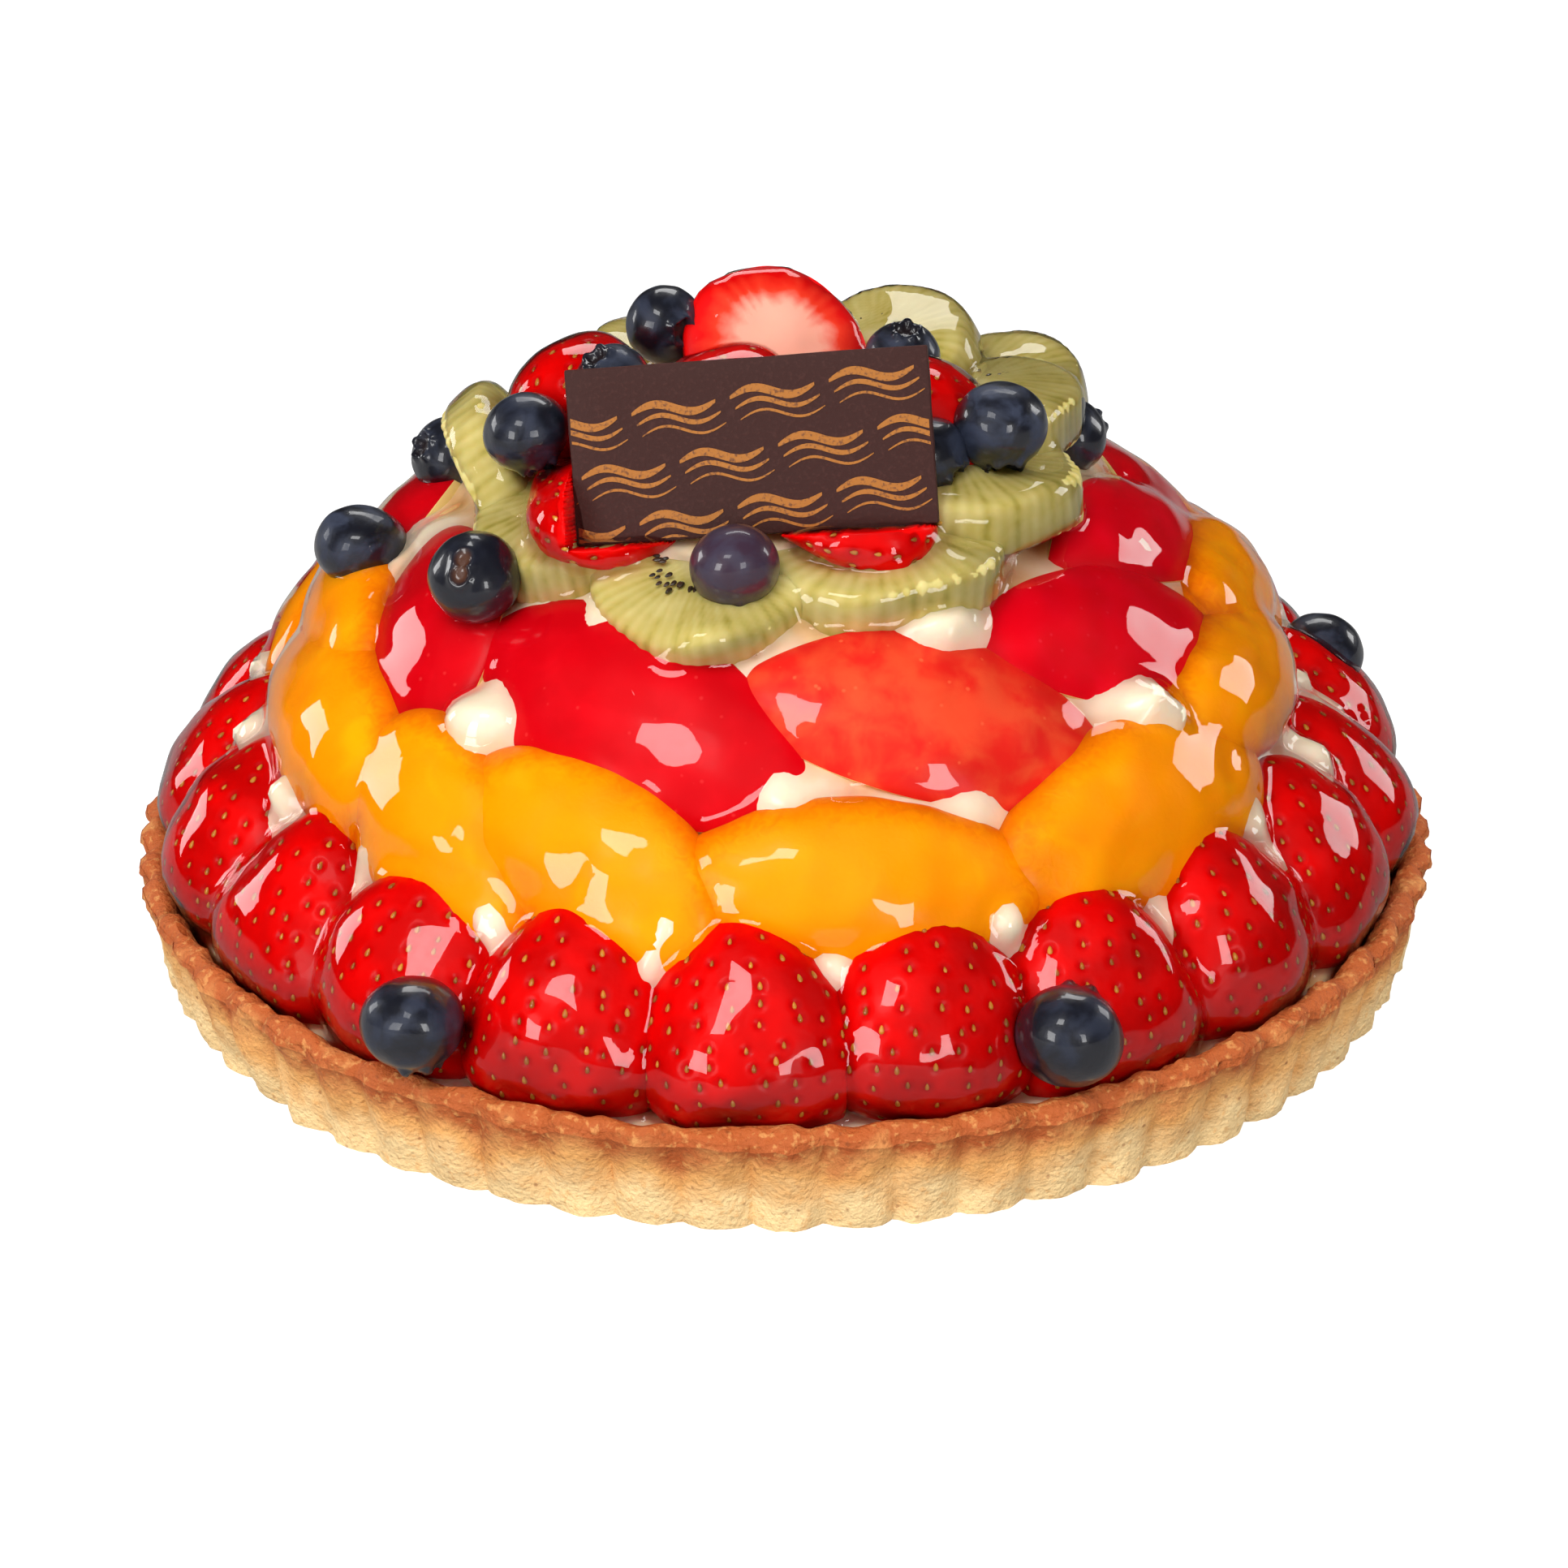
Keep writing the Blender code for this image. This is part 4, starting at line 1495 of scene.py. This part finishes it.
@dataclass
class TopPile(Part):
    """The strawberries heaped at the top. The first shows its cut face."""

    pot: SeedPot
    screen: Screen
    count: int = 6
    skin: StrawberrySkin = StrawberrySkin()
    cut: StrawberryCut = StrawberryCut()

    def cut_berry(self, node: Piece) -> Piece:
        """Builds the berry that shows its white heart."""
        hold = Hold.of(node)
        out = hold.axes[2] if hold.axes[2][1] < 0 else -hold.axes[2]
        side = np.array((1.0, 0.0, -0.08))
        place = Place.facing(hold.centre, np.cross(side, out), out)
        form = Berry(28 * MM, 33 * MM, 2.4 * MM, 10 * MM, seed=301, taper=0.1)
        piece, spots, rounds = form.build("cut_strawberry", place)
        shown = rounds[:, 2] > 0
        plan = np.hypot(rounds[:, 0], rounds[:, 1])
        angle = np.arctan2(rounds[:, 1], rounds[:, 0])
        keep_layer(piece, "heart", np.where(shown, 1 - plan, 0))
        keep_layer(piece, "streak", np.where(shown, np.sin(angle * 23 + 3 * np.sin(angle * 5)), 0))
        return self.settle(piece, self.cut.material(), "strawberry", ["top_strawberry_1"])

    def make(self, frame: Mapping[str, Piece]) -> list[Piece]:
        """Builds the cut berry and the rest of the pile."""
        made = [self.cut_berry(frame["top_strawberry_1"])]
        material = self.skin.material()
        for i in range(2, self.count + 1):
            hold = Hold.of(frame[f"top_strawberry_{i}"])
            out = hold.axes[2] if hold.axes[2] @ outward(azimuth_of(hold.centre)) > 0 else -hold.axes[2]
            place = Place.facing(hold.centre, hold.axes[1], out)
            half = hold.half * 1.08
            form = Berry(half[1] * 2, half[0] * 2, half[2], half[2], seed=300 + i * 9, taper=0.3)
            piece, spots, rounds = form.build(f"pile_strawberry_{i}", place)
            set_points(piece, self.screen.keep_behind(points_of(piece)))
            seats, ways = form.dimple(piece, spots, rounds)
            self.pot.sow(seats, ways, place.across)
            made.append(self.settle(piece, material, "strawberry", [f"top_strawberry_{i}"]))
        return made


class Crown(Enum):
    """What a blueberry shows where its flower was."""

    STAR = "star"
    SCAR = "scar"


@dataclass(frozen=True)
class BerryLook:
    """How one blueberry lies and looks: its crown points along an azimuth and a lean, in degrees,
    and a shift in millimetres moves it off its node."""

    azimuth: float
    lean: float
    bloom: float = 0.8
    plum: float = 0.0
    crown: Crown = Crown.STAR
    shift: tuple[float, float, float] = (0, 0, 0)


@dataclass
class Blueberries(Part):
    """The loose blueberries."""

    finish: BlueberrySkin = BlueberrySkin()
    looks: tuple[BerryLook, ...] = (
        BerryLook(35, 5, 0.7),
        BerryLook(-60, 60, 0.9),
        BerryLook(40, -60, 0.6),
        BerryLook(-60, 30, 0.8),
        BerryLook(-30, -62, 0.9),
        BerryLook(-18, 38, 0.15, crown=Crown.SCAR),
        BerryLook(0, -70, 0.5, plum=0.9),
        BerryLook(20, 75, 0.9),
        BerryLook(12, -58, 1.0),
        BerryLook(60, -20, 0.8),
        BerryLook(120, 10, 0.7),
        BerryLook(150, 15, 0.7, shift=(0, -6, 2.5)),
        BerryLook(20, -72, 0.6),
        BerryLook(160, 40, 0.45),
    )

    def berry(self, index: int, node: Piece, material: bpy.types.Material) -> Piece:
        """Shapes one blueberry, a little flat, with its crown sunk in.

        Args:
            index: Its number, from 0.
            node: The frame's blueberry.
            material: Its finish.

        Returns:
            The blueberry.
        """
        look = self.looks[index]
        hold = Hold.of(node)
        radius = float(hold.half[:2].max()) * 1.02
        rest()
        bpy.ops.mesh.primitive_uv_sphere_add(segments=72, ring_count=48, radius=1)
        piece = named(f"whole_blueberry_{index + 1}")
        rounds = points_of(piece)
        local = rounds * (1, 1, 0.9)
        spread = np.arccos(np.clip(rounds[:, 2], -1, 1))
        angle = np.arctan2(rounds[:, 1], rounds[:, 0])
        star = look.crown is Crown.STAR
        lobes = np.cos(angle * 5 + index) * (1 if star else 0.15)
        wall = 0.36 + 0.05 * lobes if star else 0.32 - 0.13 * np.cos(angle * 2)
        lip = np.exp(-(((spread - wall) / 0.09) ** 2)) * (0.075 + 0.06 * lobes)
        inside = 1 - step_between(spread, wall - 0.16, wall)
        local[:, 2] += lip - inside * (0.2 if star else 0.03)
        uneven = lumps(local, 0.9, 400 + index) * 0.025 + lumps(local, 0.3, 430 + index) * 0.008
        local *= (1 + uneven)[:, None]
        tilt = math.radians(look.lean)
        out = outward(look.azimuth) * math.cos(tilt) + np.array((0, 0, math.sin(tilt)))
        side = np.cross((0, 0, 1), outward(look.azimuth))
        centre = hold.centre + np.array(look.shift) * MM
        set_points(piece, Place.facing(centre, side, out).put(local * radius))
        keep_layer(piece, "crown", inside if star else np.zeros(len(local)))
        keep_layer(piece, "scar", np.zeros(len(local)) if star else inside * 0.9)
        keep_layer(piece, "bloom", np.full(len(local), look.bloom))
        keep_layer(piece, "plum", np.full(len(local), look.plum))
        return self.settle(piece, material, "blueberry", [f"blueberry_{index + 1}"])

    def make(self, frame: Mapping[str, Piece]) -> list[Piece]:
        """Builds every blueberry."""
        material = self.finish.material()
        return [self.berry(i, frame[f"blueberry_{i + 1}"], material) for i in range(len(self.looks))]


@dataclass
class Plaque(Part):
    """The chocolate sheet and the gold waves dusted on its face."""

    rows: int = 3
    motif: float = 17 * MM
    slope: float = 0.1
    chocolate: DarkChocolate = DarkChocolate()
    gilding: Gilding = Gilding()

    def place_of(self, node: Piece) -> tuple[Place, Array]:
        """Finds the sheet's place, with its width along and its height across.

        Args:
            node: The frame's plaque.

        Returns:
            Its place and its half sizes.
        """
        hold = Hold.of(node)
        long, middle, short = hold.axes
        long = long if long[0] > 0 else -long
        out = short if short[1] < 0 else -short
        return Place(hold.centre, long, np.cross(out, long), out), hold.half

    def sheet(self, place: Place, half: Array) -> Piece:
        """Makes the sheet with softened edges and a slight warp."""
        rest()
        bpy.ops.mesh.primitive_cube_add(size=2)
        piece = named("chocolate_sheet")
        set_points(piece, points_of(piece) * half)
        with editing(piece):
            bpy.ops.mesh.bevel(offset=0.35 * MM, segments=3, affect="EDGES")
            bpy.ops.mesh.subdivide(number_cuts=8)
        local = points_of(piece)
        local[:, 2] += lumps(local * (1, 1, 0), 26 * MM, 500) * 0.18 * MM
        local[:, :2] += lumps(local, 3 * MM, 501)[:, None] * 0.06 * MM
        set_points(piece, place.put(local))
        return self.settle(piece, self.chocolate.material(), "chocolate", ["plaque"], 35)

    def stroke(self, start: Array, length: float, rise: float, bend: float, width: float) -> Piece:
        """One brush stroke on the sheet's face: a thin ribbon, widest in its middle.

        Args:
            start: Where it starts, on the face.
            length: How far it runs.
            rise: How far it climbs.
            bend: How far it waves.
            width: Its full width.

        Returns:
            The stroke, in the sheet's own frame.
        """
        rest()
        bpy.ops.mesh.primitive_grid_add(x_subdivisions=26, y_subdivisions=3, size=2)
        ribbon = named("gold_stroke")
        local = points_of(ribbon)
        share = (local[:, 0] + 1) / 2
        half = width / 2 * (0.35 + 0.65 * np.sin(math.pi * share) ** 0.6)
        x = start[0] + length * share
        y = start[1] + rise * share + bend * np.sin(2 * math.pi * share) + local[:, 1] * half
        set_points(ribbon, np.column_stack((x, y, np.zeros(len(x)))))
        return ribbon

    def gold(self, place: Place, half: Array) -> Piece:
        """Dusts rows of plain waves and dashes, cut off at the sheet's edges."""
        strokes = []
        for row in range(self.rows):
            level = half[1] * (0.58 - 0.62 * row)
            shift = -self.motif * (0.35 + 0.55 * (row % 2))
            for column in range(6):
                x = -half[0] + shift + column * self.motif
                y = level + (x + half[0]) * self.slope - half[0] * self.slope
                for line, width in enumerate((1.5 * MM, 0.9 * MM, 0.5 * MM)):
                    start = (x + line * 0.8 * MM, y - line * 1.9 * MM)
                    strokes.append(self.stroke(start, 14.5 * MM, 1.4 * MM, 1.1 * MM, width))
        gold = join(strokes, "gold_waves")
        for sign, axis, limit in ((1, 0, half[0]), (-1, 0, half[0]), (1, 1, half[1]), (-1, 1, half[1])):
            way = [0.0, 0.0, 0.0]
            way[axis] = float(sign)
            edge = [value * (limit - 0.5 * MM) for value in way]
            with editing(gold):
                bpy.ops.mesh.bisect(plane_co=edge, plane_no=way, clear_outer=True)
        local = points_of(gold)
        warp = lumps(local * (1, 1, 0), 26 * MM, 500) * 0.18 * MM
        local[:, 2] = half[2] + warp
        set_points(gold, place.put(local))
        apply_modifier(gold, "SOLIDIFY", thickness=0.12 * MM, offset=1)
        return self.settle(gold, self.gilding.material(), "chocolate", [], 35)

    def make(self, frame: Mapping[str, Piece]) -> list[Piece]:
        """Builds the sheet and its gold."""
        place, half = self.place_of(frame["plaque"])
        return [self.sheet(place, half), self.gold(place, half)]


@dataclass
class GlazeFilm(Part):
    """The clear glaze poured over the fruit: one skin that bridges the gaps between pieces."""

    grain: float = 1.5 * MM
    proud: float = 0.8 * MM
    smoothing: int = 9
    layers: tuple[str, ...] = ("dimple", "edge", "cut", "spoke", "heart", "streak", "lump")
    finish: ClearGlaze = ClearGlaze()

    def make(self, fruit: Sequence[Piece]) -> Piece:
        """Melts copies of the fruit together and swells them into one skin."""
        film = join(copies(fruit), "glaze_film")
        film.data.materials.clear()
        for layer in list(film.data.attributes):
            if layer.name in self.layers:
                film.data.attributes.remove(layer)
        apply_modifier(film, "REMESH", mode="VOXEL", voxel_size=self.grain, adaptivity=0)
        apply_modifier(film, "SMOOTH", factor=0.5, iterations=self.smoothing)
        points = points_of(film)
        runs = lumps(points, 12 * MM, 601) * 0.3 + lumps(points, 5.5 * MM, 602) * 0.16
        swell(film, self.proud + runs * MM)
        return self.settle(film, self.finish.material(), "glaze", [])


@dataclass
class Studio:
    """A white floor, soft white lamps and the camera."""

    aim: Vector = field(default_factory=lambda: Vector((0, 0, 24.9 * MM)))
    distance: float = 0.80
    elevation: float = 26.3
    roll: float = -0.5
    lens: float = 98.3

    def camera(self) -> None:
        """Sets the camera in front of the tart, looking down on it."""
        data = bpy.data.cameras.new("camera")
        data.lens, data.sensor_width = self.lens, 36
        camera = bpy.data.objects.new("camera", data)
        rise = math.radians(self.elevation)
        camera.location = self.aim + Vector((0, -math.cos(rise), math.sin(rise))) * self.distance
        turn = (self.aim - camera.location).to_track_quat("-Z", "Y").to_matrix().to_4x4()
        turn = turn @ Matrix.Rotation(math.radians(self.roll), 4, "Z")
        camera.matrix_world = Matrix.Translation(camera.location) @ turn
        bpy.context.scene.collection.objects.link(camera)
        bpy.context.scene.camera = camera

    def softbox(
        self,
        name: str,
        azimuth: float,
        lean: float,
        distance: float,
        size: tuple[float, float],
        power: float,
        shines: bool = True,
    ) -> None:
        """Hangs one soft lamp that faces the tart.

        Args:
            name: The lamp's name.
            azimuth: Where it hangs round the tart, in degrees.
            lean: How high it hangs, in degrees.
            distance: How far off.
            size: Its width and height.
            power: Its power in watts.
            shines: Whether wet surfaces mirror it.
        """
        data = bpy.data.lights.new(name, "AREA")
        data.shape, data.size, data.size_y, data.energy = "RECTANGLE", size[0], size[1], power
        lamp = bpy.data.objects.new(name, data)
        lamp.visible_glossy = shines
        tilt = math.radians(lean)
        way = Vector(outward(azimuth)) * math.cos(tilt) + Vector((0, 0, math.sin(tilt)))
        lamp.location = Vector((0, 0, 50 * MM)) + way * distance
        lamp.rotation_euler = (-way).to_track_quat("-Z", "Y").to_euler()
        bpy.context.scene.collection.objects.link(lamp)

    def world(self, strength: float, shine: float) -> None:
        """White all round: plain to the camera, soft as light, and faint in a shine."""
        world = bpy.data.worlds.new("studio")
        world.use_nodes = True
        bpy.context.scene.world = world
        nodes, links = world.node_tree.nodes, world.node_tree.links
        background = nodes["Background"]
        background.inputs["Color"].default_value = (1, 1, 1, 1)
        path = nodes.new("ShaderNodeLightPath")
        faint, plain = nodes.new("ShaderNodeMapRange"), nodes.new("ShaderNodeMapRange")
        faint.inputs["To Min"].default_value = strength
        faint.inputs["To Max"].default_value = shine
        plain.inputs["To Max"].default_value = 1
        links.new(path.outputs["Is Glossy Ray"], faint.inputs["Value"])
        links.new(path.outputs["Is Camera Ray"], plain.inputs["Value"])
        links.new(faint.outputs["Result"], plain.inputs["To Min"])
        links.new(plain.outputs["Result"], background.inputs["Strength"])

    def floor(self) -> None:
        """Lays the white floor."""
        rest()
        bpy.ops.mesh.primitive_plane_add(size=6)
        floor = named("studio_floor")
        recipe = Recipe("studio_white")
        seen = Signal(recipe, recipe.node("ShaderNodeLightPath").outputs["Is Camera Ray"])
        white = recipe.blend(seen, (0, 0, 0), (1, 1, 1))
        recipe.dress(Base_Color=(0.3, 0.3, 0.3), Roughness=0.9, Specular_IOR_Level=0.0)
        recipe.dress(Emission_Color=white, Emission_Strength=0.85)
        floor.data.materials.append(recipe.material)

    def make(self) -> None:
        """Sets up the floor, the lamps and the camera."""
        self.floor()
        self.softbox("front_left", -38, 15, 1.0, (0.3, 0.36), 2.7)
        self.softbox("front_right", 24, 13, 1.0, (0.2, 0.32), 1.6)
        self.softbox("front_high", -24, 50, 1.0, (0.3, 0.2), 1.5)
        self.softbox("side_left", -110, 14, 1.0, (0.3, 0.3), 1.8)
        self.softbox("side_right", 112, 20, 1.0, (0.3, 0.3), 1.6)
        self.softbox("behind", 176, 50, 1.0, (0.7, 0.3), 3.2)
        self.softbox("fill_high", -8, 58, 1.0, (1.2, 0.8), 7.0, shines=False)
        self.softbox("fill_front", -5, 18, 1.0, (1.0, 0.6), 2.4, shines=False)
        self.softbox("fill_left", -85, 35, 1.0, (0.8, 0.6), 1.9, shines=False)
        self.softbox("fill_right", 85, 35, 1.0, (0.8, 0.6), 1.9, shines=False)
        self.world(0.2, 0.02)
        self.camera()
        view = bpy.context.scene.view_settings
        view.view_transform = "Standard"


def main() -> None:
    """Builds the tart round its frame, then lights it."""
    logging.basicConfig(level=logging.INFO, format="%(name)s: %(message)s")
    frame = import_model()
    nodes = frame["nodes"]
    dome = Dome(radius=DOME_RADIUS, height=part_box("cream")[1].z)
    pips = SeedPot("strawberry_seeds", "strawberry", SeedCoat("seed_gold", srgb(206, 150, 46), srgb(150, 92, 26)))
    specks = SeedPot("kiwi_seeds", "kiwi", SeedCoat("seed_dark", srgb(34, 26, 20), srgb(58, 40, 28)))
    PastryShell().make(nodes)
    cream = CreamDome(dome).make(nodes)
    wet = [cream]
    wet += StrawberryRing(dome, pips).make()
    wet += PeachRing(dome).make(nodes)
    wet += AppleRing(dome).make(nodes)
    plaque = Plaque()
    screen = Screen(*plaque.place_of(nodes["plaque"]))
    wet += KiwiRing(specks, screen).make(nodes)
    wet += TopPile(pips, screen).make(nodes)
    Blueberries().make(nodes)
    plaque.make(nodes)
    pips.make()
    specks.make()
    GlazeFilm().make(wet)
    Studio().make()
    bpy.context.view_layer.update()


if __name__ == "__main__":
    main()
